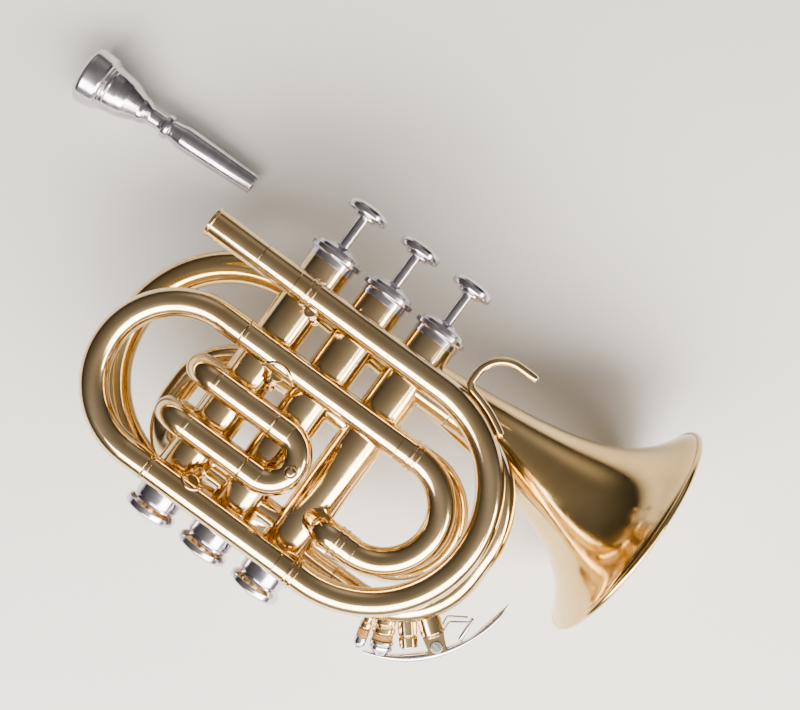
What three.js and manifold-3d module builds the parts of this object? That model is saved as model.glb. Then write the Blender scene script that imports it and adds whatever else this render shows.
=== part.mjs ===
// A pocket trumpet lying on its side, with its mouthpiece taken off and laid beside it.
// Millimetres. X runs towards the bell, Y towards the finger buttons, Z up from the table.
// The tubing lies in three layers: the front layer above the valves, the valves, the bell line behind.

import * as THREE from 'three';
import { mergeVertices } from 'three/addons/utils/BufferGeometryUtils.js';
import Module from 'manifold-3d';

const wasm = await Module();
wasm.setup();

// Layers
const BELL_RIM_RADIUS = 50;
const BACK_Z = BELL_RIM_RADIUS; // the bell lies on its rim
const VALVE_RISE = 20; // valve axes above the bell line
const FRONT_RISE = 17; // front tubes above the valve axes
const VALVE_Z = BACK_Z + VALVE_RISE;
const FRONT_Z = VALVE_Z + FRONT_RISE;

// Tubing
const TUBE_RADIUS = 5.8;
const TUBE_WALL = 0.65;
const SLIDE_GAP = 0.3; // running clearance of an inner leg in its sleeve
const JOINT_GAP = 0.3; // between two ends, or a piece and its seat
const FERRULE_WALL = 0.7;
const FERRULE_LENGTH = 9;
const RING_WIDTH = 1.6;
const RING_RISE = 0.5;
const INNER_LEG_LENGTH = 24;
const TUBE_SIDES = 12;
const BORE_SIDES = 6;
const BEND_SAG = 0.45; // how far a bend's chords may cut inside its curve
const LATHE_SIDES = 12;
const CUT_OVERRUN = 6;

// Valves
const VALVE_PITCH = 25.8;
const VALVE_COUNT = 3;
const VALVE_3_X = 7.7;
const CASING_RADIUS = 9.85;
const CASING_WALL = 0.9;
const CASING_TOP_Y = 17;
const CASING_BOTTOM_Y = -98;
const TOP_CAP_RADIUS = 11.6;
const TOP_CAP_SKIRT = 1.6;
const TOP_CAP_STEP_RADIUS = 10.4;
const TOP_CAP_STEP = 1.7;
const TOP_CAP_HEIGHT = 4.2;
const TOP_CAP_WALL = 1.2;
const BOTTOM_CAP_RADIUS = 11;
const BOTTOM_CAP_RIM = 4.2;
const BOTTOM_CAP_STEP_RADIUS = 9.6;
const BOTTOM_CAP_HEIGHT = 13;
const BOTTOM_CAP_HOLE_RADIUS = 1.6;
const BOTTOM_CAP_PLUG = 3;
const CAP_FLOOR = 1.6;
const PISTON_GAP = 0.3;
const PISTON_TOP_DROP = 3; // from the casing's top to the piston's top
const VALVE_TRAVEL = 13.5;
const PISTON_STOP_GAP = 0.5; // left above the bottom cap when the valve is down
const PISTON_LENGTH = CASING_TOP_Y - PISTON_TOP_DROP - CASING_BOTTOM_Y - BOTTOM_CAP_PLUG
  - VALVE_TRAVEL - PISTON_STOP_GAP;
const PISTON_WALL = 1.2;
const STEM_RADIUS = 2.4;
const STEM_LENGTH = 21.2;
const STEM_FOOT_RADIUS = 5;
const STEM_FOOT = 1.5;
const STEM_GAP = 0.4;
const BUTTON_RADIUS = 9;
const BUTTON_RIM = 1.2;
const BUTTON_DOME = 3;
const BUTTON_NECK_RADIUS = 4.2;
const BUTTON_NECK = 2.4;
const SPRING_RADIUS = 6.2;
const SPRING_WIRE = 1.2;
const SPRING_LENGTH = 32; // stands on the bottom cap, inside the open piston

// Leadpipe and front bow
const LEAD_Y = -1;
const RECEIVER_MOUTH_X = -89.3;
const RECEIVER_LENGTH = 24;
const RECEIVER_RADIUS = 6.4;
const RECEIVER_BORE_SHARE = 0.78; // of its outer radius, at the mouth
const LEADPIPE_END_X = -39.7;
const FRONT_BOW_X = 21;
const FRONT_BOW_RADIUS = 45.75;
const LOWER_Y = LEAD_Y - 2 * FRONT_BOW_RADIUS;
const LOWER_FERRULE_X = 18;

// Main tuning slide
const TUNING_BOW_X = -63;
const TUNING_BOW_RADIUS = 32;
const TUNING_SLEEVE_X = -53.2;
const MIDDLE_Y = LOWER_Y + 2 * TUNING_BOW_RADIUS;

// Inlet to the third valve
const SMALL_BOW_X = 29.5;
const SMALL_BOW_RADIUS = 22;
const SMALL_LOWER_Y = MIDDLE_Y - 2 * SMALL_BOW_RADIUS;
const INLET_FERRULE_X = 21.7;
const INLET_ELBOW_RADIUS = 7;
const INLET_ELBOW_ANGLE = Math.PI / 3;

// First valve slide
const FIRST_UPPER_Y = -50.2;
const FIRST_BOW_RADIUS = 10.4;
const FIRST_LOWER_Y = FIRST_UPPER_Y - 2 * FIRST_BOW_RADIUS;
const FIRST_BOW_X = -17.5;
const FIRST_SLEEVE_END_X = -23.5;
const FIRST_ELBOW_X = -51.4;
const FIRST_INNER_LEG_LENGTH = 18;
const KNOB_NECK_RADIUS = 1.4;
const KNOB_RADIUS = 2.6;
const KNOB_HEIGHT = 5.4;
const KNOB_FOOT = 0.6;

// Third valve slide, whose upper leg crosses over the bell
const THIRD_UPPER_Y = -7;
const THIRD_LOWER_Y = -88;
const THIRD_UPPER_RISE = 2;
const THIRD_RIGHT_X = 74.2;
const THIRD_UPPER_BEND = 38;
const THIRD_LOWER_BEND = 33;
const THIRD_SLEEVE_END_X = 30;
const THIRD_INNER_LEG_LENGTH = 9;

// Second valve slide, on the far side, which props the horn
const SECOND_UPPER_Y = -50;
const SECOND_BOW_RADIUS = 10.4;
const SECOND_SLEEVE_LENGTH = 24;
const SECOND_INNER_LEG_LENGTH = 18;

// Bell line: valve 1, exit bow, upper leg, middle bow, lower leg, bell bow, bell
const EXIT_PORT_Y = -86.6;
const EXIT_BOW_LEFT_X = -65.6;
const EXIT_LOWER_BEND = 18;
const EXIT_UPPER_BEND = 24.6;
const UPPER_LEG_LEFT_Y = -39.8;
const UPPER_LEG_RIGHT_Y = -27.5;
const MIDDLE_BOW_RIGHT_X = 61.7;
const MIDDLE_BOW_BEND = 23.7;
const LOWER_LEG_RIGHT_Y = -71.9;
const LOWER_LEG_LEFT_Y = -112.7;
const BELL_BOW_LEFT_X = -98.4;
const BELL_BOW_BEND = 48;
const BELL_Y = -3;
const MIDDLE_BOW_TUBE_RADIUS = 6.1;
const BELL_BOW_TUBE_RADIUS = 6.9;

// Bell
const BELL_TAIL_X = BELL_BOW_LEFT_X + BELL_BOW_BEND;
const BELL_RIM_X = 120;
const BELL_TAIL_RADIUS = 7.2;
const BELL_WALL = 0.7;
const BELL_BEAD_RADIUS = 1.3;
const BELL_SIDES = 20;
// Along the bell from its tail as a share of its length, and its radius as a share of the rim's
const BELL_SHARES = [
  [0.18, 0.162], [0.34, 0.19], [0.435, 0.216], [0.5, 0.242], [0.59, 0.286], [0.68, 0.341],
  [0.76, 0.412], [0.84, 0.497], [0.888, 0.57], [0.93, 0.69], [0.962, 0.84], [0.985, 0.95],
];

// Mouthpiece
const MOUTHPIECE_LENGTH = 88.5;
const MOUTHPIECE_RIM_RADIUS = 13.5;
const MOUTHPIECE_SHANK_RADIUS = 4.85;
const MOUTHPIECE_BORE_RADIUS = 1.9;
const MOUTHPIECE_CUP_RADIUS = 8.4;
const MOUTHPIECE_BACKBORE_RADIUS = 4.1;
const MOUTHPIECE_X = -187.6;
const MOUTHPIECE_Y = 19;
const MOUTHPIECE_TURN = 0.045;
// Along the mouthpiece from its rim, and the radius, as shares of its length and its rim radius
const MOUTHPIECE_SHARES = [
  [0.02, 1], [0.115, 0.95], [0.13, 0.8], [0.22, 0.74], [0.31, 0.5], [0.39, 0.3], [0.465, 0.31],
  [0.475, 0.44], [0.495, 0.44], [0.51, 0.33], [0.57, 0.44],
];
const CUP_DEPTH_SHARE = 0.13;
const RIM_BITE_SHARE = 0.8; // where the cup starts, of the rim radius

// Knuckles between the casings
const KNUCKLE_UPPER_Y = -34;
const KNUCKLE_LOWER_Y = -82;
const KNUCKLE_RADIUS = 5.2;

// Hook for the little finger
const HOOK_WIRE_RADIUS = 1.7;
const HOOK_SIDES = 8;
const HOOK_NECK_BEND = 4;
const HOOK_TOP_BEND = 12;
const HOOK_FOOT_ANGLE = 0.98; // round the bow's middle, from the X direction
const HOOK_LEAVE_ANGLE = 1.34;
const HOOK_NECK_X = 28.3;
const HOOK_TOP_Y = 23.6;
const HOOK_TIP_X = 49;

// Water key round the outside of the third slide's lower bend. Angles are from the X direction round the
// bend's middle, heights from the tube's outside.
const SPOUT_ANGLE = -1.107;
const SPOUT_RADIUS = 3.8;
const SPOUT_BORE_RADIUS = 1.4;
const SPOUT_HEIGHT = 4.7;
const KEY_CORK_RADIUS = 4;
const KEY_CORK_THICKNESS = 3.4;
const KEY_CUP_RADIUS = 4.6;
const KEY_PIVOT_ANGLE = -0.653;
const KEY_PIVOT_HEIGHT = 10.7;
const KEY_PIN_RADIUS = 1;
const KEY_LEVER_HEIGHT = 14.5;
const KEY_LEVER_WIDTH = 5;
const KEY_LEVER_THICKNESS = 1.4;
const KEY_CUP_END_ANGLE = -1.24;
const KEY_TIP_ANGLE = 0;
const KEY_SADDLE_RADIUS = 4.4;
const KEY_SADDLE_HEIGHT = 2.7;
const KEY_EAR_WIDTH = 6.6;
const KEY_EAR_THICKNESS = 1.2;
const KEY_EAR_OVER_PIN = 3; // how far an ear reaches past the pin's axis
const KEY_WIRE_RADIUS = 0.5;
const KEY_WIRE_BEND = 1.2;
// Along the spring's wire: angle, and height as a share of the lever's height
const KEY_WIRE_ANGLES = [-0.6, -0.478, -0.318];
const KEY_WIRE_HEIGHT_SHARES = [0.455, 0.214, 0.54];

const model = new THREE.Group();

// Materials

function brass() {
  return new THREE.MeshStandardMaterial({ color: '#b8964e', roughness: 0.16, metalness: 1 });
}

function silver() {
  return new THREE.MeshStandardMaterial({ color: '#b9b6b4', roughness: 0.18, metalness: 1 });
}

function steel() {
  return new THREE.MeshStandardMaterial({ color: '#8f9196', roughness: 0.35, metalness: 1 });
}

function cork() {
  return new THREE.MeshStandardMaterial({ color: '#a67c52', roughness: 0.9, metalness: 0 });
}

// Solids

function toManifold(geometry) {
  const bare = geometry.clone();
  bare.deleteAttribute('normal');
  bare.deleteAttribute('uv');
  const merged = mergeVertices(bare, 1e-4);
  return new wasm.Manifold(new wasm.Mesh({
    numProp: 3,
    vertProperties: new Float32Array(merged.attributes.position.array),
    triVerts: new Uint32Array(merged.index.array),
  }));
}

function toGeometry(manifold) {
  const mesh = manifold.getMesh();
  const geometry = new THREE.BufferGeometry();
  geometry.setAttribute('position', new THREE.BufferAttribute(mesh.vertProperties, 3));
  geometry.setIndex(new THREE.BufferAttribute(mesh.triVerts, 1));
  geometry.computeVertexNormals();
  return geometry;
}

function joined(...geometries) {
  return toGeometry(geometries.map(toManifold).reduce((sum, piece) => sum.add(piece)));
}

function cutBy(geometry, ...tools) {
  return toGeometry(tools.map(toManifold).reduce((rest, tool) => rest.subtract(tool), toManifold(geometry)));
}

function place(name, geometry, material) {
  const mesh = new THREE.Mesh(geometry, material);
  mesh.name = name;
  model.add(mesh);
  return mesh;
}

// A closed outline turned about Y, its points listed so that the faces look outward
function turned(points, sides = LATHE_SIDES) {
  const outline = points.map(([radius, along]) => new THREE.Vector2(radius, along));
  const geometry = new THREE.LatheGeometry(outline, sides);
  const area = THREE.ShapeUtils.area(outline);
  return area < 0 ? flipped(geometry) : geometry;
}

function flipped(geometry) {
  const index = geometry.index.array;
  for (let i = 0; i < index.length; i += 3) {
    [index[i], index[i + 1]] = [index[i + 1], index[i]];
  }
  return geometry;
}

// Turns a piece made about Y so that it runs from one point towards another
function aimed(geometry, from, to) {
  const direction = to.clone().sub(from).normalize();
  const turn = new THREE.Quaternion().setFromUnitVectors(new THREE.Vector3(0, 1, 0), direction);
  return geometry.applyQuaternion(turn).translate(from.x, from.y, from.z);
}

// A pipe whose outside and bore follow [distance, radius] stations, from one point towards another
function pipe(from, to, outside, bore, sides = LATHE_SIDES) {
  const outline = [...outside, ...[...bore].reverse(), outside[0]];
  return aimed(turned(outline.map(([along, radius]) => [radius, along]), sides), from, to);
}

function rod(from, to, radius, sides = LATHE_SIDES) {
  const length = from.distanceTo(to);
  return aimed(turned([[0, 0], [radius, 0], [radius, length], [0, length]], sides), from, to);
}

// A route of straight runs and round bends, sampled at the ends of each run and along each bend
class Route extends THREE.Curve {
  constructor(corners, bends) {
    super();
    this.stations = [];
    this.addStation(corners[0], corners[1].clone().sub(corners[0]).normalize());
    for (let i = 1; i < corners.length - 1; i += 1) {
      this.addBend(corners[i - 1], corners[i], corners[i + 1], bends[i - 1]);
    }
    const last = corners[corners.length - 1];
    this.addStation(last, last.clone().sub(corners[corners.length - 2]).normalize());
  }

  addStation(point, tangent) {
    const before = this.stations[this.stations.length - 1];
    if (!before || before.point.distanceTo(point) > 1e-3) {
      this.stations.push({ point, tangent });
    }
  }

  addBend(before, corner, after, radius) {
    const inward = corner.clone().sub(before).normalize();
    const outward = after.clone().sub(corner).normalize();
    const angle = inward.angleTo(outward);
    const start = corner.clone().addScaledVector(inward, -radius * Math.tan(angle / 2));
    const side = outward.clone().addScaledVector(inward, -Math.cos(angle)).normalize();
    const centre = start.clone().addScaledVector(side, radius);
    const steps = Math.max(2, Math.ceil(angle / (2 * Math.acos(1 - BEND_SAG / radius))));
    for (let i = 0; i <= steps; i += 1) {
      const turn = angle * i / steps;
      const point = centre.clone()
        .addScaledVector(side, -radius * Math.cos(turn))
        .addScaledVector(inward, radius * Math.sin(turn));
      const tangent = inward.clone().multiplyScalar(Math.cos(turn)).addScaledVector(side, Math.sin(turn));
      this.addStation(point, tangent);
    }
  }

  get steps() {
    return this.stations.length - 1;
  }

  getUtoTmapping(u) {
    return u;
  }

  getPoint(t) {
    return this.stations[Math.round(t * this.steps)].point.clone();
  }

  getTangent(t) {
    return this.stations[Math.round(t * this.steps)].tangent.clone();
  }
}

function ringOf(radius, sides) {
  return Array.from({ length: sides }, (_, i) => {
    const angle = 2 * Math.PI * i / sides;
    return new THREE.Vector2(radius * Math.cos(angle), radius * Math.sin(angle));
  });
}

function tubeAlong(corners, bends, outerRadius = TUBE_RADIUS, wall = TUBE_WALL) {
  const section = new THREE.Shape(ringOf(outerRadius, TUBE_SIDES));
  section.holes.push(new THREE.Path(ringOf(outerRadius - wall, BORE_SIDES)));
  const route = new Route(corners, bends);
  return new THREE.ExtrudeGeometry(section, { steps: route.steps, extrudePath: route });
}

function solidAlong(corners, bends, radius, sides) {
  const section = new THREE.Shape(ringOf(radius, sides));
  const route = new Route(corners, bends);
  return new THREE.ExtrudeGeometry(section, { steps: route.steps, extrudePath: route });
}

function at(x, y, z) {
  return new THREE.Vector3(x, y, z);
}

function valveX(number) {
  return VALVE_3_X - (VALVE_COUNT - number) * VALVE_PITCH;
}

// The room that a casing takes, with the gap that a tube ending on it keeps
function casingRoom(number) {
  const x = valveX(number);
  return rod(
    at(x, CASING_BOTTOM_Y - CUT_OVERRUN, VALVE_Z),
    at(x, CASING_TOP_Y + CUT_OVERRUN, VALVE_Z),
    CASING_RADIUS + JOINT_GAP,
    LATHE_SIDES,
  );
}

// A sleeve that an inner leg slides in, with a raised ring at its far end
function sleeve(from, to, socketAtStart = false) {
  const length = from.distanceTo(to);
  const bore = TUBE_RADIUS - TUBE_WALL;
  const ringed = TUBE_RADIUS + RING_RISE;
  const outside = [[length - RING_WIDTH, TUBE_RADIUS], [length - RING_WIDTH, ringed], [length, ringed]];
  const inside = [[length, bore]];
  if (socketAtStart) {
    const seat = socketBore(TUBE_RADIUS);
    const ferrule = seat + FERRULE_WALL;
    outside.unshift([0, ferrule], [FERRULE_LENGTH, ferrule], [FERRULE_LENGTH, TUBE_RADIUS]);
    inside.unshift([0, seat], [FERRULE_LENGTH / 2, seat], [FERRULE_LENGTH / 2, bore]);
  } else {
    outside.unshift([0, TUBE_RADIUS]);
    inside.unshift([0, bore]);
  }
  return pipe(from, to, outside, inside);
}

// The bore of a socket, wide enough that its flats clear the tube's corners
function socketBore(tubeRadius) {
  return (tubeRadius + JOINT_GAP / 2) / Math.cos(Math.PI / LATHE_SIDES);
}

// A short band over the joint of two tube ends
function ferrule(from, to, tubeRadius) {
  const length = from.distanceTo(to);
  const bore = socketBore(tubeRadius);
  const outside = bore + FERRULE_WALL;
  return pipe(from, to, [[0, outside], [length, outside]], [[0, bore], [length, bore]]);
}

// The band and the thinner inner leg at the end of a slide's bow
function slideLeg(bowEnd, sleeveEnd, legLength) {
  const bandLength = bowEnd.distanceTo(sleeveEnd) - JOINT_GAP;
  const legRadius = (TUBE_RADIUS - TUBE_WALL) * Math.cos(Math.PI / LATHE_SIDES) - SLIDE_GAP;
  const legBore = legRadius - TUBE_WALL;
  const band = TUBE_RADIUS + RING_RISE / 2;
  const end = bandLength + legLength;
  return pipe(
    bowEnd,
    sleeveEnd,
    [[-RING_WIDTH, band], [bandLength, band], [bandLength, legRadius], [end, legRadius]],
    [[-RING_WIDTH, legBore], [end, legBore]],
  );
}

// Leadpipe, receiver and front bow

function leadpipe() {
  const mouth = at(RECEIVER_MOUTH_X, LEAD_Y, FRONT_Z);
  const end = at(LEADPIPE_END_X, LEAD_Y, FRONT_Z);
  const bore = TUBE_RADIUS - TUBE_WALL;
  const start = RECEIVER_LENGTH + JOINT_GAP;
  const length = mouth.distanceTo(end);
  const seat = socketBore(TUBE_RADIUS);
  const ferruleStart = length - FERRULE_LENGTH;
  const socketStart = length - FERRULE_LENGTH / 2;
  place('mouthpiece_receiver', pipe(
    mouth,
    end,
    [[0, RECEIVER_RADIUS + RING_RISE], [RING_WIDTH, RECEIVER_RADIUS + RING_RISE],
      [RING_WIDTH, RECEIVER_RADIUS], [RECEIVER_LENGTH, TUBE_RADIUS]],
    [[0, RECEIVER_RADIUS * RECEIVER_BORE_SHARE], [RECEIVER_LENGTH, bore]],
  ), brass());
  place('leadpipe', pipe(
    mouth,
    end,
    [[start, TUBE_RADIUS], [ferruleStart, TUBE_RADIUS], [ferruleStart, seat + FERRULE_WALL],
      [length, seat + FERRULE_WALL]],
    [[start, bore], [socketStart, bore], [socketStart, seat], [length, seat]],
  ), brass());
}

function frontBow() {
  const right = FRONT_BOW_X + FRONT_BOW_RADIUS;
  const seated = LEADPIPE_END_X - FERRULE_LENGTH / 2 + JOINT_GAP;
  place('front_bow', tubeAlong(
    [at(seated, LEAD_Y, FRONT_Z), at(right, LEAD_Y, FRONT_Z), at(right, LOWER_Y, FRONT_Z),
      at(LOWER_FERRULE_X - FERRULE_LENGTH / 2 + JOINT_GAP, LOWER_Y, FRONT_Z)],
    [FRONT_BOW_RADIUS, FRONT_BOW_RADIUS],
  ), brass());
  place('lower_outer_tube', sleeve(
    at(LOWER_FERRULE_X, LOWER_Y, FRONT_Z),
    at(TUNING_SLEEVE_X, LOWER_Y, FRONT_Z),
    true,
  ), brass());
}

// Main tuning slide

function tuningSlide() {
  const left = TUNING_BOW_X - TUNING_BOW_RADIUS;
  const bow = tubeAlong(
    [at(TUNING_BOW_X, LOWER_Y, FRONT_Z), at(left, LOWER_Y, FRONT_Z), at(left, MIDDLE_Y, FRONT_Z),
      at(TUNING_BOW_X, MIDDLE_Y, FRONT_Z)],
    [TUNING_BOW_RADIUS, TUNING_BOW_RADIUS],
  );
  const legs = [LOWER_Y, MIDDLE_Y].map((y) => slideLeg(
    at(TUNING_BOW_X, y, FRONT_Z),
    at(TUNING_SLEEVE_X, y, FRONT_Z),
    INNER_LEG_LENGTH,
  ));
  place('tuning_slide', joined(bow, ...legs), brass());
  place('middle_outer_tube', sleeve(
    at(SMALL_BOW_X, MIDDLE_Y, FRONT_Z),
    at(TUNING_SLEEVE_X, MIDDLE_Y, FRONT_Z),
    true,
  ), brass());
}

// Inlet

function inlet() {
  const right = SMALL_BOW_X + SMALL_BOW_RADIUS;
  const start = SMALL_BOW_X - FERRULE_LENGTH / 2 + JOINT_GAP;
  const joint = INLET_FERRULE_X + FERRULE_LENGTH / 2;
  place('inlet_bow', tubeAlong(
    [at(start, MIDDLE_Y, FRONT_Z), at(right, MIDDLE_Y, FRONT_Z), at(right, SMALL_LOWER_Y, FRONT_Z),
      at(joint + JOINT_GAP / 2, SMALL_LOWER_Y, FRONT_Z)],
    [SMALL_BOW_RADIUS, SMALL_BOW_RADIUS],
  ), brass());
  place('inlet_ferrule', ferrule(
    at(INLET_FERRULE_X, SMALL_LOWER_Y, FRONT_Z),
    at(INLET_FERRULE_X + FERRULE_LENGTH, SMALL_LOWER_Y, FRONT_Z),
    TUBE_RADIUS,
  ), brass());
  const cornerX = VALVE_3_X + FRONT_RISE / Math.tan(INLET_ELBOW_ANGLE);
  const elbow = tubeAlong(
    [at(joint - JOINT_GAP / 2, SMALL_LOWER_Y, FRONT_Z), at(cornerX, SMALL_LOWER_Y, FRONT_Z),
      at(VALVE_3_X, SMALL_LOWER_Y, VALVE_Z)],
    [INLET_ELBOW_RADIUS],
  );
  place('inlet_elbow', cutBy(elbow, casingRoom(VALVE_COUNT)), brass());
}

// Valves

function casing(number) {
  const x = valveX(number);
  const bore = CASING_RADIUS - CASING_WALL;
  const bottom = CASING_BOTTOM_Y;
  place(`valve_${number}_casing`, turned([
    [CASING_RADIUS, bottom], [CASING_RADIUS, CASING_TOP_Y], [bore, CASING_TOP_Y], [bore, bottom],
    [CASING_RADIUS, bottom],
  ]).translate(x, 0, VALVE_Z), brass());
}

function caps(number) {
  const x = valveX(number);
  const top = CASING_TOP_Y + JOINT_GAP;
  const skirt = top - TOP_CAP_SKIRT;
  const hole = STEM_RADIUS + STEM_GAP;
  const skirtBore = CASING_RADIUS + JOINT_GAP;
  const peak = top + TOP_CAP_HEIGHT;
  const room = TOP_CAP_STEP_RADIUS - TOP_CAP_WALL;
  place(`valve_${number}_top_cap`, turned([
    [skirtBore, skirt], [TOP_CAP_RADIUS, skirt], [TOP_CAP_RADIUS, top], [TOP_CAP_STEP_RADIUS, top],
    [TOP_CAP_STEP_RADIUS, top + TOP_CAP_STEP], [STEM_FOOT_RADIUS, peak], [hole, peak],
    [hole, peak - TOP_CAP_WALL], [room, top + TOP_CAP_STEP - TOP_CAP_WALL], [room, top],
    [skirtBore, top], [skirtBore, skirt],
  ]).translate(x, 0, VALVE_Z), silver());
  const floor = CASING_BOTTOM_Y - BOTTOM_CAP_HEIGHT;
  const seat = CASING_BOTTOM_Y - JOINT_GAP;
  const plug = (CASING_RADIUS - CASING_WALL) * Math.cos(Math.PI / LATHE_SIDES) - JOINT_GAP;
  const hollow = plug - CASING_WALL;
  place(`valve_${number}_bottom_cap`, turned([
    [BOTTOM_CAP_HOLE_RADIUS, floor], [BOTTOM_CAP_STEP_RADIUS, floor], [BOTTOM_CAP_RADIUS, floor + CAP_FLOOR],
    [BOTTOM_CAP_RADIUS, floor + BOTTOM_CAP_RIM],
    [BOTTOM_CAP_STEP_RADIUS, floor + BOTTOM_CAP_RIM + CAP_FLOOR],
    [BOTTOM_CAP_STEP_RADIUS, seat - CAP_FLOOR], [CASING_RADIUS, seat], [plug, seat],
    [plug, seat + BOTTOM_CAP_PLUG], [hollow, seat + BOTTOM_CAP_PLUG], [hollow, floor + CAP_FLOOR],
    [BOTTOM_CAP_HOLE_RADIUS, floor + CAP_FLOOR], [BOTTOM_CAP_HOLE_RADIUS, floor],
  ]).translate(x, 0, VALVE_Z), silver());
}

function piston(number) {
  const x = valveX(number);
  const radius = (CASING_RADIUS - CASING_WALL) * Math.cos(Math.PI / LATHE_SIDES) - PISTON_GAP;
  const top = CASING_TOP_Y - PISTON_TOP_DROP;
  const bottom = top - PISTON_LENGTH;
  const bore = radius - PISTON_WALL;
  place(`valve_${number}_piston`, turned([
    [0, top], [radius, top], [radius, bottom], [bore, bottom], [bore, top - PISTON_WALL],
    [0, top - PISTON_WALL],
  ]).translate(x, 0, VALVE_Z), steel());
  const foot = top + JOINT_GAP;
  const stemTop = foot + STEM_LENGTH;
  place(`valve_${number}_stem`, turned([
    [0, foot], [STEM_FOOT_RADIUS, foot], [STEM_FOOT_RADIUS, foot + STEM_FOOT],
    [STEM_RADIUS, foot + STEM_FOOT], [STEM_RADIUS, stemTop], [0, stemTop],
  ]).translate(x, 0, VALVE_Z), silver());
  const neck = stemTop + JOINT_GAP;
  const plate = neck + BUTTON_NECK;
  place(`valve_${number}_finger_button`, turned([
    [0, neck], [STEM_RADIUS, neck], [BUTTON_NECK_RADIUS, plate - BUTTON_RIM], [BUTTON_RADIUS, plate],
    [BUTTON_RADIUS, plate + BUTTON_RIM], [BUTTON_NECK_RADIUS, plate + BUTTON_RIM + BUTTON_DOME],
    [0, plate + BUTTON_RIM + BUTTON_DOME],
  ]).translate(x, 0, VALVE_Z), silver());
}

function valveSpring(number) {
  const floor = CASING_BOTTOM_Y - BOTTOM_CAP_HEIGHT + CAP_FLOOR + JOINT_GAP;
  const top = floor + SPRING_LENGTH;
  const inner = SPRING_RADIUS - SPRING_WIRE;
  place(`valve_${number}_spring`, turned([
    [SPRING_RADIUS, floor], [SPRING_RADIUS, top], [inner, top], [inner, floor], [SPRING_RADIUS, floor],
  ], HOOK_SIDES).translate(valveX(number), 0, VALVE_Z), steel());
}

function knuckles() {
  for (let number = 1; number < VALVE_COUNT; number += 1) {
    const from = valveX(number);
    const to = valveX(number + 1);
    [KNUCKLE_UPPER_Y, KNUCKLE_LOWER_Y].forEach((y, row) => {
      const blank = pipe(
        at(from, y, VALVE_Z),
        at(to, y, VALVE_Z),
        [[0, KNUCKLE_RADIUS], [VALVE_PITCH, KNUCKLE_RADIUS]],
        [[0, KNUCKLE_RADIUS - TUBE_WALL], [VALVE_PITCH, KNUCKLE_RADIUS - TUBE_WALL]],
        TUBE_SIDES,
      );
      const name = `${row === 0 ? 'upper' : 'lower'}_knuckle_${number}`;
      place(name, cutBy(blank, casingRoom(number), casingRoom(number + 1)), brass());
    });
  }
}

// First valve slide

function firstSlide() {
  const turnRadius = FRONT_RISE / 2;
  const x = valveX(1);
  const left = FIRST_ELBOW_X - turnRadius - JOINT_GAP;
  const rows = [['upper', FIRST_UPPER_Y], ['lower', FIRST_LOWER_Y]];
  rows.forEach(([row, y]) => {
    const elbow = tubeAlong(
      [at(FIRST_ELBOW_X - JOINT_GAP, y, FRONT_Z), at(left, y, FRONT_Z), at(left, y, VALVE_Z),
        at(x, y, VALVE_Z)],
      [turnRadius, turnRadius],
    );
    place(`first_slide_${row}_elbow`, cutBy(elbow, casingRoom(1)), brass());
    place(`first_slide_${row}_sleeve`, sleeve(
      at(FIRST_ELBOW_X, y, FRONT_Z),
      at(FIRST_SLEEVE_END_X, y, FRONT_Z),
    ), brass());
  });
  const right = FIRST_BOW_X + FIRST_BOW_RADIUS;
  const bow = tubeAlong(
    [at(FIRST_BOW_X, FIRST_UPPER_Y, FRONT_Z), at(right, FIRST_UPPER_Y, FRONT_Z),
      at(right, FIRST_LOWER_Y, FRONT_Z), at(FIRST_BOW_X, FIRST_LOWER_Y, FRONT_Z)],
    [FIRST_BOW_RADIUS, FIRST_BOW_RADIUS],
  );
  const legs = rows.map(([, y]) => slideLeg(
    at(FIRST_BOW_X, y, FRONT_Z),
    at(FIRST_SLEEVE_END_X, y, FRONT_Z),
    FIRST_INNER_LEG_LENGTH,
  ));
  place('first_slide_bow', joined(bow, ...legs), brass());
  const foot = FRONT_Z + TUBE_RADIUS + JOINT_GAP;
  const middleY = FIRST_UPPER_Y - FIRST_BOW_RADIUS;
  place('first_slide_knob', aimed(turned([
    [0, 0], [KNOB_RADIUS, 0], [KNOB_RADIUS, KNOB_FOOT], [KNOB_NECK_RADIUS, KNOB_FOOT + KNOB_NECK_RADIUS],
    [KNOB_RADIUS, KNOB_HEIGHT - KNOB_RADIUS], [KNOB_RADIUS, KNOB_HEIGHT - KNOB_NECK_RADIUS],
    [KNOB_NECK_RADIUS, KNOB_HEIGHT], [0, KNOB_HEIGHT],
  ], TUBE_SIDES), at(right, middleY, foot), at(right, middleY, foot + KNOB_HEIGHT)), brass());
}

// Second valve slide

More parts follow.
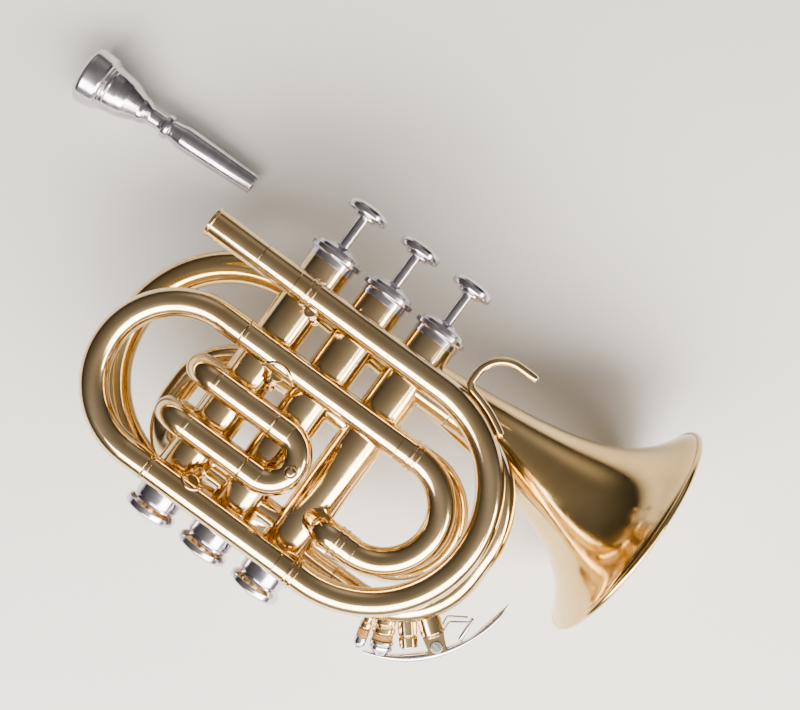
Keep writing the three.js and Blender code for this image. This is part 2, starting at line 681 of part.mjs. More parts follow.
function secondSlide() {
  const x = valveX(2);
  const top = VALVE_Z - CASING_RADIUS;
  const sleeveEnd = top - SECOND_SLEEVE_LENGTH;
  const bowZ = SECOND_BOW_RADIUS + TUBE_RADIUS;
  const rows = [['upper', SECOND_UPPER_Y], ['lower', SECOND_UPPER_Y - 2 * SECOND_BOW_RADIUS]];
  rows.forEach(([row, y]) => {
    const tube = pipe(
      at(x, y, VALVE_Z),
      at(x, y, sleeveEnd),
      [[0, TUBE_RADIUS], [VALVE_Z - sleeveEnd, TUBE_RADIUS]],
      [[0, TUBE_RADIUS - TUBE_WALL], [VALVE_Z - sleeveEnd, TUBE_RADIUS - TUBE_WALL]],
    );
    place(`second_slide_${row}_sleeve`, cutBy(tube, casingRoom(2)), brass());
  });
  const lower = SECOND_UPPER_Y - 2 * SECOND_BOW_RADIUS;
  const bow = tubeAlong(
    [at(x, SECOND_UPPER_Y, bowZ), at(x, SECOND_UPPER_Y, TUBE_RADIUS), at(x, lower, TUBE_RADIUS),
      at(x, lower, bowZ)],
    [SECOND_BOW_RADIUS, SECOND_BOW_RADIUS],
  );
  const legs = rows.map(([, y]) => slideLeg(at(x, y, bowZ), at(x, y, sleeveEnd), SECOND_INNER_LEG_LENGTH));
  place('second_slide_bow', joined(bow, ...legs), brass());
}

// Third valve slide

function thirdSlideRoute() {
  const start = THIRD_SLEEVE_END_X + RING_WIDTH + JOINT_GAP;
  const upperZ = VALVE_Z + THIRD_UPPER_RISE;
  return {
    corners: [
      at(start, THIRD_UPPER_Y, upperZ), at(THIRD_RIGHT_X, THIRD_UPPER_Y, upperZ),
      at(THIRD_RIGHT_X, THIRD_LOWER_Y, VALVE_Z), at(start, THIRD_LOWER_Y, VALVE_Z),
    ],
    bends: [THIRD_UPPER_BEND, THIRD_LOWER_BEND],
  };
}

function thirdSlide() {
  const { corners, bends } = thirdSlideRoute();
  const bow = tubeAlong(corners, bends);
  const rows = [['upper', corners[0]], ['lower', corners[3]]];
  const legs = rows.map(([row, bowEnd]) => {
    const port = at(VALVE_3_X, bowEnd.y, bowEnd.z);
    const sleeveEnd = at(THIRD_SLEEVE_END_X, bowEnd.y, bowEnd.z);
    const length = port.distanceTo(sleeveEnd);
    const bore = TUBE_RADIUS - TUBE_WALL;
    const outside = [[0, TUBE_RADIUS], [length, TUBE_RADIUS]];
    const tube = pipe(port, sleeveEnd, outside, [[0, bore], [length, bore]]);
    place(`third_slide_${row}_sleeve`, cutBy(tube, casingRoom(VALVE_COUNT)), brass());
    return slideLeg(bowEnd, sleeveEnd, THIRD_INNER_LEG_LENGTH);
  });
  place('third_slide_bow', joined(bow, ...legs), brass());
}

// Water key on the third slide

function onThirdBend(angle, height) {
  const radius = THIRD_LOWER_BEND + TUBE_RADIUS + height;
  return at(
    THIRD_RIGHT_X - THIRD_LOWER_BEND + radius * Math.cos(angle),
    THIRD_LOWER_Y + THIRD_LOWER_BEND + radius * Math.sin(angle),
    VALVE_Z,
  );
}

function waterSpout() {
  const { corners, bends } = thirdSlideRoute();
  const tubeRoom = solidAlong(corners, bends, TUBE_RADIUS + JOINT_GAP, TUBE_SIDES);
  const inside = onThirdBend(SPOUT_ANGLE, -TUBE_RADIUS);
  const mouth = onThirdBend(SPOUT_ANGLE, SPOUT_HEIGHT);
  const length = inside.distanceTo(mouth);
  const spout = pipe(
    inside,
    mouth,
    [[0, SPOUT_RADIUS], [length, SPOUT_RADIUS]],
    [[0, SPOUT_BORE_RADIUS], [length, SPOUT_BORE_RADIUS]],
    TUBE_SIDES,
  );
  place('water_key_spout', cutBy(spout, tubeRoom), brass());
  const boss = rod(
    onThirdBend(KEY_PIVOT_ANGLE, -TUBE_RADIUS),
    onThirdBend(KEY_PIVOT_ANGLE, KEY_SADDLE_HEIGHT),
    KEY_SADDLE_RADIUS,
    TUBE_SIDES,
  );
  place('water_key_saddle', cutBy(joined(boss, keyEar(1), keyEar(-1)), tubeRoom, keyPinHole()), brass());
}

// One of the two cheeks that hold the pin, above and below the lever
function keyEar(side) {
  const bottom = KEY_SADDLE_HEIGHT / 2;
  const height = KEY_PIVOT_HEIGHT + KEY_EAR_OVER_PIN - bottom;
  const middle = onThirdBend(KEY_PIVOT_ANGLE, bottom + height / 2);
  const aside = KEY_LEVER_WIDTH / 2 + JOINT_GAP + KEY_EAR_THICKNESS / 2;
  return new THREE.BoxGeometry(height, KEY_EAR_WIDTH, KEY_EAR_THICKNESS)
    .rotateZ(KEY_PIVOT_ANGLE)
    .translate(middle.x, middle.y, middle.z + side * aside);
}

function keyAxis(reach) {
  const pivot = onThirdBend(KEY_PIVOT_ANGLE, KEY_PIVOT_HEIGHT);
  return [pivot.clone().add(at(0, 0, -reach)), pivot.clone().add(at(0, 0, reach))];
}

function keyPinHole() {
  return rod(...keyAxis(KEY_LEVER_WIDTH + CUT_OVERRUN), KEY_PIN_RADIUS + JOINT_GAP, HOOK_SIDES);
}

function waterKey() {
  const halfAngle = (KEY_TIP_ANGLE - KEY_CUP_END_ANGLE) / 2;
  const radius = THIRD_LOWER_BEND + TUBE_RADIUS + KEY_LEVER_HEIGHT;
  const bulge = radius / Math.cos(halfAngle) - radius;
  const strip = new THREE.Shape([
    [-KEY_LEVER_WIDTH, -KEY_LEVER_THICKNESS], [KEY_LEVER_WIDTH, -KEY_LEVER_THICKNESS],
    [KEY_LEVER_WIDTH, KEY_LEVER_THICKNESS], [-KEY_LEVER_WIDTH, KEY_LEVER_THICKNESS],
  ].map(([x, y]) => new THREE.Vector2(x / 2, y / 2)));
  const route = new Route([
    onThirdBend(KEY_CUP_END_ANGLE, KEY_LEVER_HEIGHT),
    onThirdBend(KEY_CUP_END_ANGLE + halfAngle, KEY_LEVER_HEIGHT + bulge),
    onThirdBend(KEY_TIP_ANGLE, KEY_LEVER_HEIGHT),
  ], [radius]);
  const blade = new THREE.ExtrudeGeometry(strip, { steps: route.steps, extrudePath: route });
  const barrel = rod(...keyAxis(KEY_LEVER_WIDTH / 2), KEY_LEVER_HEIGHT - KEY_PIVOT_HEIGHT, TUBE_SIDES);
  const corkFoot = SPOUT_HEIGHT + JOINT_GAP;
  const cupFoot = corkFoot + KEY_CORK_THICKNESS + JOINT_GAP;
  const cup = rod(
    onThirdBend(SPOUT_ANGLE, cupFoot),
    onThirdBend(SPOUT_ANGLE, KEY_LEVER_HEIGHT),
    KEY_CUP_RADIUS,
    TUBE_SIDES,
  );
  place('water_key_lever', cutBy(joined(blade, barrel, cup), keyPinHole()), silver());
  place('water_key_cork', rod(
    onThirdBend(SPOUT_ANGLE, corkFoot),
    onThirdBend(SPOUT_ANGLE, corkFoot + KEY_CORK_THICKNESS),
    KEY_CORK_RADIUS,
    TUBE_SIDES,
  ), cork());
  place('water_key_pin', rod(
    ...keyAxis(KEY_LEVER_WIDTH / 2 + JOINT_GAP + KEY_EAR_THICKNESS),
    KEY_PIN_RADIUS,
    HOOK_SIDES,
  ), steel());
  const wireHeights = KEY_WIRE_HEIGHT_SHARES.map((share) => share * KEY_LEVER_HEIGHT);
  const wire = KEY_WIRE_ANGLES.map((angle, i) => onThirdBend(angle, wireHeights[i]));
  place('water_key_spring', solidAlong(wire, [KEY_WIRE_BEND], KEY_WIRE_RADIUS, HOOK_SIDES), steel());
}

// Bell line

const BELL_LINE = {
  port: at(valveX(1), EXIT_PORT_Y, VALVE_Z),
  exitLower: at(EXIT_BOW_LEFT_X, EXIT_PORT_Y, BACK_Z),
  exitUpper: at(EXIT_BOW_LEFT_X, UPPER_LEG_LEFT_Y, BACK_Z),
  middleUpper: at(MIDDLE_BOW_RIGHT_X, UPPER_LEG_RIGHT_Y, BACK_Z),
  middleLower: at(MIDDLE_BOW_RIGHT_X, LOWER_LEG_RIGHT_Y, BACK_Z),
  bellLower: at(BELL_BOW_LEFT_X, LOWER_LEG_LEFT_Y, BACK_Z),
  bellUpper: at(BELL_BOW_LEFT_X, BELL_Y, BACK_Z),
  tail: at(BELL_TAIL_X, BELL_Y, BACK_Z),
};

// How far from its corner a bend meets the straight run
function bendReach(before, corner, after, radius) {
  const angle = corner.clone().sub(before).angleTo(after.clone().sub(corner));
  return radius * Math.tan(angle / 2);
}

function between(from, to, distance) {
  return from.clone().addScaledVector(to.clone().sub(from).normalize(), distance);
}

function bellLine() {
  const line = BELL_LINE;
  const exitReach = bendReach(line.exitLower, line.exitUpper, line.middleUpper, EXIT_UPPER_BEND);
  const upperReach = bendReach(line.exitUpper, line.middleUpper, line.middleLower, MIDDLE_BOW_BEND);
  const lowerReach = bendReach(line.middleUpper, line.middleLower, line.bellLower, MIDDLE_BOW_BEND);
  const bellReach = bendReach(line.middleLower, line.bellLower, line.bellUpper, BELL_BOW_BEND);
  const half = JOINT_GAP / 2;
  const exitBow = tubeAlong(
    [line.port, line.exitLower, line.exitUpper, between(line.exitUpper, line.middleUpper, exitReach - half)],
    [EXIT_LOWER_BEND, EXIT_UPPER_BEND],
  );
  place('bell_line_exit_bow', cutBy(exitBow, casingRoom(1)), brass());
  place('bell_line_upper_leg', tubeAlong([
    between(line.exitUpper, line.middleUpper, exitReach + half),
    between(line.middleUpper, line.exitUpper, upperReach + half),
  ], []), brass());
  place('bell_line_middle_bow', tubeAlong(
    [between(line.middleUpper, line.exitUpper, upperReach - half), line.middleUpper, line.middleLower,
      between(line.middleLower, line.bellLower, lowerReach - half)],
    [MIDDLE_BOW_BEND, MIDDLE_BOW_BEND],
    MIDDLE_BOW_TUBE_RADIUS,
  ), brass());
  place('bell_line_lower_leg', tubeAlong([
    between(line.middleLower, line.bellLower, lowerReach + half),
    between(line.bellLower, line.middleLower, bellReach + half),
  ], [], MIDDLE_BOW_TUBE_RADIUS), brass());
  place('bell_bow', tubeAlong(
    [between(line.bellLower, line.middleLower, bellReach - half), line.bellLower, line.bellUpper,
      line.tail.clone().add(at(-half, 0, 0))],
    [BELL_BOW_BEND, BELL_BOW_BEND],
    BELL_BOW_TUBE_RADIUS,
  ), brass());
}

function bell() {
  const length = BELL_RIM_X - BELL_TAIL_X;
  const throat = BELL_SHARES.map(([along, radius]) => [along * length, radius * BELL_RIM_RADIUS]);
  const bead = BELL_BEAD_RADIUS;
  const outside = [
    [JOINT_GAP / 2, BELL_TAIL_RADIUS], ...throat, [length - 2 * bead, BELL_RIM_RADIUS - bead],
    [length - bead, BELL_RIM_RADIUS], [length, BELL_RIM_RADIUS - bead],
  ];
  const inside = [
    [JOINT_GAP / 2, BELL_TAIL_RADIUS - BELL_WALL],
    ...throat.map(([along, radius]) => [along + BELL_WALL, radius - BELL_WALL]),
    [length - bead + BELL_WALL / 2, BELL_RIM_RADIUS - 2 * bead],
  ];
  place('bell', pipe(BELL_LINE.tail, at(BELL_RIM_X, BELL_Y, BACK_Z), outside, inside, BELL_SIDES), brass());
}

// Hook for the little finger, soldered along the outside of the front bow

function fingerHook() {
  const out = FRONT_BOW_RADIUS + TUBE_RADIUS + JOINT_GAP + HOOK_WIRE_RADIUS;
  const middle = at(FRONT_BOW_X, LEAD_Y - FRONT_BOW_RADIUS, FRONT_Z);
  const onBow = (angle, radius) => at(radius * Math.cos(angle), radius * Math.sin(angle), 0).add(middle);
  const half = (HOOK_LEAVE_ANGLE - HOOK_FOOT_ANGLE) / 2;
  const along = onBow(HOOK_FOOT_ANGLE + half, out / Math.cos(half));
  const leave = onBow(HOOK_LEAVE_ANGLE, out);
  const run = (leave.x - HOOK_NECK_X) / Math.tan(HOOK_LEAVE_ANGLE);
  place('little_finger_hook', solidAlong(
    [onBow(HOOK_FOOT_ANGLE, out), along, at(HOOK_NECK_X, leave.y + run, FRONT_Z),
      at(HOOK_NECK_X, HOOK_TOP_Y, FRONT_Z), at(HOOK_TIP_X, HOOK_TOP_Y, FRONT_Z)],
    [out, HOOK_NECK_BEND, HOOK_TOP_BEND],
    HOOK_WIRE_RADIUS,
    HOOK_SIDES,
  ), brass());
}

// Mouthpiece, lying on its rim and the end of its shank

function mouthpiece() {
  const length = MOUTHPIECE_LENGTH;
  const rim = MOUTHPIECE_RIM_RADIUS;
  const outer = MOUTHPIECE_SHARES.map(([along, radius]) => [radius * rim, along * length]);
  const lip = rim * RIM_BITE_SHARE;
  const cup = length * CUP_DEPTH_SHARE;
  const profile = [
    [lip, 0], ...outer, [MOUTHPIECE_SHANK_RADIUS, length], [MOUTHPIECE_BACKBORE_RADIUS, length],
    [MOUTHPIECE_BORE_RADIUS, cup + MOUTHPIECE_CUP_RADIUS], [MOUTHPIECE_BORE_RADIUS, cup],
    [MOUTHPIECE_CUP_RADIUS * RIM_BITE_SHARE, cup / 2], [MOUTHPIECE_CUP_RADIUS, cup / 4], [lip, 0],
  ];
  const slopes = outer.map(([radius, along]) => (radius - MOUTHPIECE_SHANK_RADIUS) / (length - along));
  const lean = Math.atan(Math.max(...slopes));
  const piece = place('mouthpiece', turned(profile, TUBE_SIDES), silver());
  piece.rotation.set(0, 0, -Math.PI / 2);
  const rest = new THREE.Group();
  const turn = new THREE.Group();
  rest.rotation.y = lean;
  turn.rotation.z = MOUTHPIECE_TURN;
  rest.position.z = MOUTHPIECE_SHANK_RADIUS * Math.cos(lean) + length * Math.sin(lean);
  turn.position.set(MOUTHPIECE_X, MOUTHPIECE_Y, 0);
  rest.add(piece);
  turn.add(rest);
  model.add(turn);
}

// Puts the origin at the middle of the foot of the whole thing's box
function standOnTable() {
  model.updateMatrixWorld(true);
  const box = new THREE.Box3().setFromObject(model, true);
  const middle = box.getCenter(new THREE.Vector3());
  model.position.set(-middle.x, -middle.y, -box.min.z);
  model.updateMatrixWorld(true);
}

leadpipe();
frontBow();
tuningSlide();
inlet();
for (let number = 1; number <= VALVE_COUNT; number += 1) {
  casing(number);
  caps(number);
  piston(number);
  valveSpring(number);
}
knuckles();
firstSlide();
secondSlide();
thirdSlide();
waterSpout();
waterKey();
bellLine();
bell();
fingerHook();
mouthpiece();
standOnTable();

export default model;
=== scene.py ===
"""A pocket trumpet lying on its side, its mouthpiece beside it: the finished surface of every part."""

from math import atan, ceil, cos, pi, radians, sin, sqrt, tan

import bmesh
import bpy
from mathutils import Matrix, Vector


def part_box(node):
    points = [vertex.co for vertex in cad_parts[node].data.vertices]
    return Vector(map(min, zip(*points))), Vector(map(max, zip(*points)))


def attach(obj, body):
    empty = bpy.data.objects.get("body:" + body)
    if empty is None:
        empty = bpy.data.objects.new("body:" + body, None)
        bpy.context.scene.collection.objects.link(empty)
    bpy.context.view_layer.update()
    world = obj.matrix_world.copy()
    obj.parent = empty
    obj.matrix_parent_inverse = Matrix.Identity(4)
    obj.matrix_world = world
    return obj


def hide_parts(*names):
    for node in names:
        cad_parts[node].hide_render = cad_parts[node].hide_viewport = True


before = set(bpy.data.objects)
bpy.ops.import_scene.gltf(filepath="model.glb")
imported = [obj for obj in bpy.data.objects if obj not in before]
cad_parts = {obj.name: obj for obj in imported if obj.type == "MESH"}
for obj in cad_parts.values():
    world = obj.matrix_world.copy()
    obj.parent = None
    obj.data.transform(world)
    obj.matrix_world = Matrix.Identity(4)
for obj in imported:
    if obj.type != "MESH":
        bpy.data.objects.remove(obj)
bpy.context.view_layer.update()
scene = bpy.context.scene

# Sizes in millimetres, on the drawing that the horn was made from: X towards the bell, Y towards the
# finger buttons, Z up from the table.
MM = 0.001

# Layers
BACK_Z = 50
VALVE_Z = 70
FRONT_Z = 87

# Tubing
TUBE = 5.8
WALL = 0.65
RING = 5.98
RING_WIDTH = 1.5
BAND = 5.88
BEAD = 6.5
BEAD_WIDTH = 1.25
BEAD_PITCH = 2.5
LEG = 4.65
LEG_BORE = 4
SEAM = 0.15
IN_FERRULE = 0.02  # how much slimmer a tube is where ferrules cover its ends

# Valves
VALVE_3_X = 7.7
VALVE_PITCH = 25.8
CASING = 9.85
CASING_BORE = 8.95
CASING_TOP_Y = 17
CASING_BOTTOM_Y = -98
CUT_DEPTH = 0.45  # how far a tube is let into a casing
PISTON = 8.6
PISTON_TOP_Y = 14
PISTON_BOTTOM_Y = -81
STEM = 2.4
BUTTON_SEAT = 21.2  # the stem's length under the button
BUTTON_TOP_Y = 47
SPRING_RADIUS = 5.6
SPRING_WIRE = 0.45
SPRING_TURNS = 9
SPRING_FLOOR_Y = -109.1
SPRING_LENGTH = 32

# Leadpipe, front bow, tuning slide, inlet
LEAD_Y = -1
MOUTH_X = -89.3
RECEIVER_LENGTH = 24
LEAD_END_X = -39.7
FRONT_BOW_X = 21
FRONT_BOW = 45.75
LOWER_Y = LEAD_Y - 2 * FRONT_BOW
LOWER_FERRULE_X = 18
TUNING_BOW_X = -63
TUNING_BOW = 32
TUNING_SLEEVE_X = -53.2
TUNING_LEG = 24
MIDDLE_Y = LOWER_Y + 2 * TUNING_BOW
INLET_BOW_X = 29.5
INLET_BOW = 22
INLET_LOWER_Y = MIDDLE_Y - 2 * INLET_BOW
INLET_FERRULE_X = 21.7
FERRULE_LENGTH = 9
ELBOW_ANGLE = pi / 3
ELBOW_BEND = 7

# First, second and third slides
FIRST_UPPER_Y = -50.2
FIRST_BOW = 10.4
FIRST_BOW_X = -17.5
FIRST_SLEEVE_END_X = -23.5
FIRST_ELBOW_X = -51.4
FIRST_LEG = 18
KNOB_HEIGHT = 5.4
SECOND_UPPER_Y = -50
SECOND_BOW = 10.4
SECOND_SLEEVE = 24
SECOND_LEG = 18
THIRD_UPPER = (-7, 72)
THIRD_LOWER = (-88, 70)
THIRD_RIGHT_X = 74.2
THIRD_BENDS = (38, 33)
THIRD_SLEEVE_END_X = 30
THIRD_LEG = 9

# Bell line
EXIT_PORT_Y = -86.6
EXIT_LEFT_X = -65.6
EXIT_BENDS = (18, 24.6)
UPPER_LEG_LEFT_Y = -39.8
MIDDLE_BOW_X = 61.7
MIDDLE_BOW_YS = (-27.5, -71.9)
MIDDLE_BOW = 23.7
MIDDLE_BOW_TUBE = 6.1
BELL_BOW_LEFT = (-98.4, -112.7)
BELL_BOW = 48
BELL_BOW_TUBE = 6.9
BELL_Y = -3
TAIL_X = BELL_BOW_LEFT[0] + BELL_BOW
TAIL = 7.2
JOINT_BAND = 6
JOINT_RISE = 0.45
RIM_X = 120
RIM = 50
BELL_WALL = 0.7
RIM_BEAD = 1.25
# The flare, as a share of the rim: start + size * (reach - share of the length) ** -power, eased
# into the rim
FLARE = {"Start": -0.0615, "Size": 0.2170, "Reach": 1.0773, "Power": 0.6523, "Rim": 1.0062, "Ease": 0.1614}

# Hook, knuckles, mouthpiece
HOOK_WIRE = 1.7
HOOK_NECK_BEND = 4
HOOK_TOP_BEND = 12
HOOK_FOOT_ANGLE = 0.98
HOOK_LEAVE_ANGLE = 1.34
HOOK_NECK_X = 28.3
HOOK_TOP_Y = 23.6
HOOK_TIP_X = 49
KNUCKLE = 5.2
KNUCKLE_YS = (-34, -82)
MOUTHPIECE_PLACE = (-187.6, 19)
MOUTHPIECE_TURN = 0.045
MOUTHPIECE_LENGTH = 88.5
MOUTHPIECE_RIM = 13.5
SHANK = 4.85
RIM_INSET = 0.1  # keeps the rounded rim inside the solid's
MOUTHPIECE_LEAN = atan((0.95 * MOUTHPIECE_RIM - SHANK) / (MOUTHPIECE_LENGTH * (1 - 0.115)))

# Water key, by angle round the third slide's lower bend and height above its tube
SPOUT_ANGLE = -1.107
SPOUT_HEIGHT = 4.7
PIVOT_ANGLE = -0.653
PIVOT_HEIGHT = 10.7
LEVER_HEIGHT = 14.5
LEVER_ANGLES = (-1.24, 0)
LEVER_WIDTH = 5
CORK_THICKNESS = 3.4
FIRST_POST_ANGLE = -1.285
SECOND_POST_ANGLE = -0.88

# Braces: how far a foot's middle is turned up from the tube's side, and its rim's width
FOOT_TILT = radians(10)
FOOT_PLATE = 0.35
FOOT_RIM = 1.3

# Fineness
TURN_SIDES = 96
TUBE_SIDES = 56
WIRE_SIDES = 20
RIM_SIDES = 180
BEND_STEP = radians(2.5)
RUN_STEP = 7
SHORT_RUN = 0.5  # bends that meet within this have no straight run between them
ROUNDING_STEPS = 4
END_STEPS = 6
THINNEST = 0.02  # how much of its width a wire keeps at its very end
STRAIGHT = radians(88)  # half the angle from which a corner is left as it is
RUN_SHARE = 0.45  # the most of a run that the rounding at one of its ends takes up
SUPPORT = 0.02  # beside each rounding, so that the run next to it is shaded flat
SHARP_ANGLE = radians(38)
POLE = 1e-6

casing_low, casing_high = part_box("valve_3_casing")
DRAWING_ORIGIN = Vector((
    (casing_low.x + casing_high.x) / 2 - VALVE_3_X * MM,
    casing_low.y - CASING_BOTTOM_Y * MM,
    (casing_low.z + casing_high.z) / 2 - VALVE_Z * MM,
))


def at(x, y, z=VALVE_Z):
    return Vector((x, y, z))


def front(x, y):
    return at(x, y, FRONT_Z)


UP = at(0, 0, 1)


def valve_x(number):
    return VALVE_3_X - (3 - number) * VALVE_PITCH


# The scene and node trees


def add(tree, kind, settings=None, values=None, links=None):
    """Adds one node with its settings, its inputs' values and what feeds them: a socket, or a node for
    its first one."""
    made = tree.nodes.new(kind)
    for name, value in (settings or {}).items():
        setattr(made, name, value)
    for name, value in (values or {}).items():
        made.inputs[name].default_value = value
    for name, source in (links or {}).items():
        tree.links.new(getattr(source, "outputs", (source,))[0], made.inputs[name])
    return made


def put(name, data):
    """A new object in the scene."""
    made = bpy.data.objects.new(name, data)
    scene.collection.objects.link(made)
    return made


def worked(tree, operation, *values):
    """One step of arithmetic, on numbers and sockets."""
    made = add(tree, "ShaderNodeMath", {"operation": operation})
    for socket, value in zip(made.inputs, values):
        if hasattr(value, "is_output"):
            tree.links.new(value, socket)
        else:
            socket.default_value = value
    return made.outputs[0]


def shape_tree(name, sizes):
    """An empty geometry tree with named inputs, and the sockets that give them."""
    tree = bpy.data.node_groups.new(name, "GeometryNodeTree")
    tree.interface.new_socket("Geometry", in_out="OUTPUT", socket_type="NodeSocketGeometry")
    tree.interface.new_socket("Geometry", in_out="INPUT", socket_type="NodeSocketGeometry")
    kinds = {float: "NodeSocketFloat", int: "NodeSocketInt", bool: "NodeSocketBool"}
    for size, value in sizes.items():
        socket = tree.interface.new_socket(size, in_out="INPUT", socket_type=kinds[type(value)])
        socket.default_value = value
    tree.interface.new_socket("Finish", in_out="INPUT", socket_type="NodeSocketMaterial")
    return tree, add(tree, "NodeGroupInput").outputs


def close_tree(tree, given, source):
    """Smooths what was made, makes it real and gives it its finish."""
    smooth = add(tree, "GeometryNodeSetShadeSmooth", links={"Geometry": source})
    real = add(tree, "GeometryNodeRealizeInstances", links={"Geometry": smooth})
    finished = add(tree, "GeometryNodeSetMaterial",
                   links={"Geometry": real, "Material": given["Finish"]})
    add(tree, "NodeGroupOutput", links={0: finished})
    return tree


def tube_tree():
    """A round section run along a drawn path, thinned or widened by the path's own taper."""
    tree, given = shape_tree("tube along a path", {
        "Radius": TUBE, "Sides": TUBE_SIDES, "Closed Ends": False})
    path = add(tree, "GeometryNodeMeshToCurve", links={0: given["Geometry"]})
    section = add(tree, "GeometryNodeCurvePrimitiveCircle",
                  links={"Resolution": given["Sides"], "Radius": given["Radius"]})
    taper = add(tree, "GeometryNodeInputNamedAttribute", {"data_type": "FLOAT"}, {"Name": "taper"})
    tube = add(tree, "GeometryNodeCurveToMesh", links={
        "Curve": path, "Profile Curve": section, "Scale": taper.outputs["Attribute"],
        "Fill Caps": given["Closed Ends"]})
    return close_tree(tree, given, tube)


def coil_tree():
    """A round wire wound into a spring that stands on the origin."""
    tree, given = shape_tree("coil spring", {"Radius": 6.0, "Wire": 0.5, "Length": 30.0, "Turns": 9.0})
    spiral = add(tree, "GeometryNodeCurveSpiral", values={"Resolution": 36}, links={
        "Rotations": given["Turns"], "Start Radius": given["Radius"],
        "End Radius": given["Radius"], "Height": given["Length"]})
    section = add(tree, "GeometryNodeCurvePrimitiveCircle", values={"Resolution": 10},
                  links={"Radius": given["Wire"]})
    wire = add(tree, "GeometryNodeCurveToMesh", values={"Fill Caps": True},
               links={"Curve": spiral, "Profile Curve": section})
    return close_tree(tree, given, wire)


def bell_tree():
    """The bell's flare, turned from one rule for its radius along its length."""
    tree, given = shape_tree("bell flare", {
        "Length": 170.0, "Rim Radius": 50.0, "Steps": 120, "Sides": 160, **FLARE})
    end = add(tree, "ShaderNodeCombineXYZ", links={"X": given["Length"]})
    line = add(tree, "GeometryNodeCurvePrimitiveLine", links={"End": end})
    stations = add(tree, "GeometryNodeResampleCurve",
                   links={"Curve": line, "Count": given["Steps"]})
    along = add(tree, "GeometryNodeSplineParameter").outputs["Factor"]
    left = worked(tree, "SUBTRACT", 1.0, along)
    # Closer stations towards the rim
    share = worked(tree, "SUBTRACT", 1.0, worked(tree, "MULTIPLY", left, left))
    place = add(tree, "ShaderNodeCombineXYZ",
                links={"X": worked(tree, "MULTIPLY", share, given["Length"])})
    spread = add(tree, "GeometryNodeSetPosition",
                 links={"Geometry": stations, "Position": place})
    distance = add(tree, "GeometryNodeInputPosition")
    split = add(tree, "ShaderNodeSeparateXYZ", links={0: distance})
    reached = worked(tree, "SUBTRACT", given["Reach"],
                     worked(tree, "DIVIDE", split.outputs["X"], given["Length"]))
    rise = worked(tree, "POWER", reached, worked(tree, "MULTIPLY", given["Power"], -1.0))
    flare = worked(tree, "MULTIPLY_ADD", rise, given["Size"], given["Start"])
    eased = worked(tree, "SMOOTH_MIN", flare, given["Rim"], given["Ease"])
    radius = worked(tree, "MULTIPLY", eased, given["Rim Radius"])
    section = add(tree, "GeometryNodeCurvePrimitiveCircle", values={"Radius": 1.0},
                  links={"Resolution": given["Sides"]})
    skin = add(tree, "GeometryNodeCurveToMesh", links={
        "Curve": spread, "Profile Curve": section, "Scale": radius})
    return close_tree(tree, given, skin)


TUBE_TREE = tube_tree()
COIL_TREE = coil_tree()
BELL_TREE = bell_tree()


# Meshes, made in millimetres on the drawing


def smooth_mesh(shape):
    """A bmesh as a plain mesh with its faces outward, smooth but for its corners."""
    bmesh.ops.recalc_face_normals(shape, faces=shape.faces)
    mesh = bpy.data.meshes.new("blank")
    shape.to_mesh(mesh)
    shape.free()
    mesh.shade_smooth()
    mesh.set_sharp_from_angle(angle=SHARP_ANGLE)
    return mesh


def baked(start, *dressings):
    """The mesh after each dressing has put its modifier on, as a plain mesh."""
    holder = put("blank", start)
    for dress in dressings:
        dress(holder.modifiers)
    graph = bpy.context.evaluated_depsgraph_get()
    result = bpy.data.meshes.new_from_object(holder.evaluated_get(graph), depsgraph=graph)
    bpy.data.objects.remove(holder)
    bpy.data.meshes.remove(start)
    shape = bmesh.new()
    shape.from_mesh(result)
    bmesh.ops.remove_doubles(shape, verts=shape.verts, dist=MM)
    bpy.data.meshes.remove(result)
    return smooth_mesh(shape)


def by_tree(tree, **sizes):
    """A dressing that puts a geometry tree on, with its sizes set by socket."""
    def dress(modifiers):
        modifier = modifiers.new(tree.name, "NODES")
        modifier.node_group = tree
        for socket in tree.interface.items_tree:
            key = socket.name.lower().replace(" ", "_")
            if socket.in_out == "INPUT" and key in sizes:
                modifier[socket.identifier] = sizes[key]
    return dress


def with_wall(thickness):
    """A dressing that gives a skin its wall, inwards."""
    def dress(modifiers):
        modifier = modifiers.new("wall", "SOLIDIFY")
        modifier.thickness = thickness
        modifier.offset = -1
    return dress


def let_into(*cutters):
    """A dressing that cuts the ends of a tube to what it is soldered on."""
    def dress(modifiers):
        for cutter in cutters:
            modifier = modifiers.new("cut", "BOOLEAN")
            modifier.operation = "DIFFERENCE"
            modifier.solver = "EXACT"
            modifier.object = cutter
    return dress


def bent_path(corners, bends=()):
    """Points along straight runs that round bends of these radii join."""
    points = [corners[0]]

    def run_to(point):
        start = points[-1]
        if (point - start).length < SHORT_RUN:
            return
        steps = ceil((point - start).length / RUN_STEP)
        points.extend(start.lerp(point, step / steps) for step in range(1, steps + 1))

    for before, corner, after, radius in zip(corners, corners[1:], corners[2:], bends):
        inward = (corner - before).normalized()
        outward = (after - corner).normalized()
        angle = inward.angle(outward)
        start = corner - inward * radius * tan(angle / 2)
        side = (outward - inward * cos(angle)).normalized()
        centre = start + side * radius
        run_to(start)
        steps = max(2, ceil(angle / BEND_STEP))
        for step in range(1, steps + 1):
            turn = angle * step / steps
            points.append(centre + radius * (inward * sin(turn) - side * cos(turn)))
    run_to(corners[-1])
    return points


def path_mesh(points, tapers=None, looped=False):
    """A path as a mesh of edges, with how wide the section is at each point."""
    mesh = bpy.data.meshes.new("path")
    edges = [(i, i + 1) for i in range(len(points) - 1)]
    if looped:
        edges.append((len(points) - 1, 0))
    mesh.from_pydata(points, edges, [])
    taper = mesh.attributes.new("taper", "FLOAT", "POINT")
    taper.data.foreach_set("value", tapers or [1.0] * len(points))
    return mesh


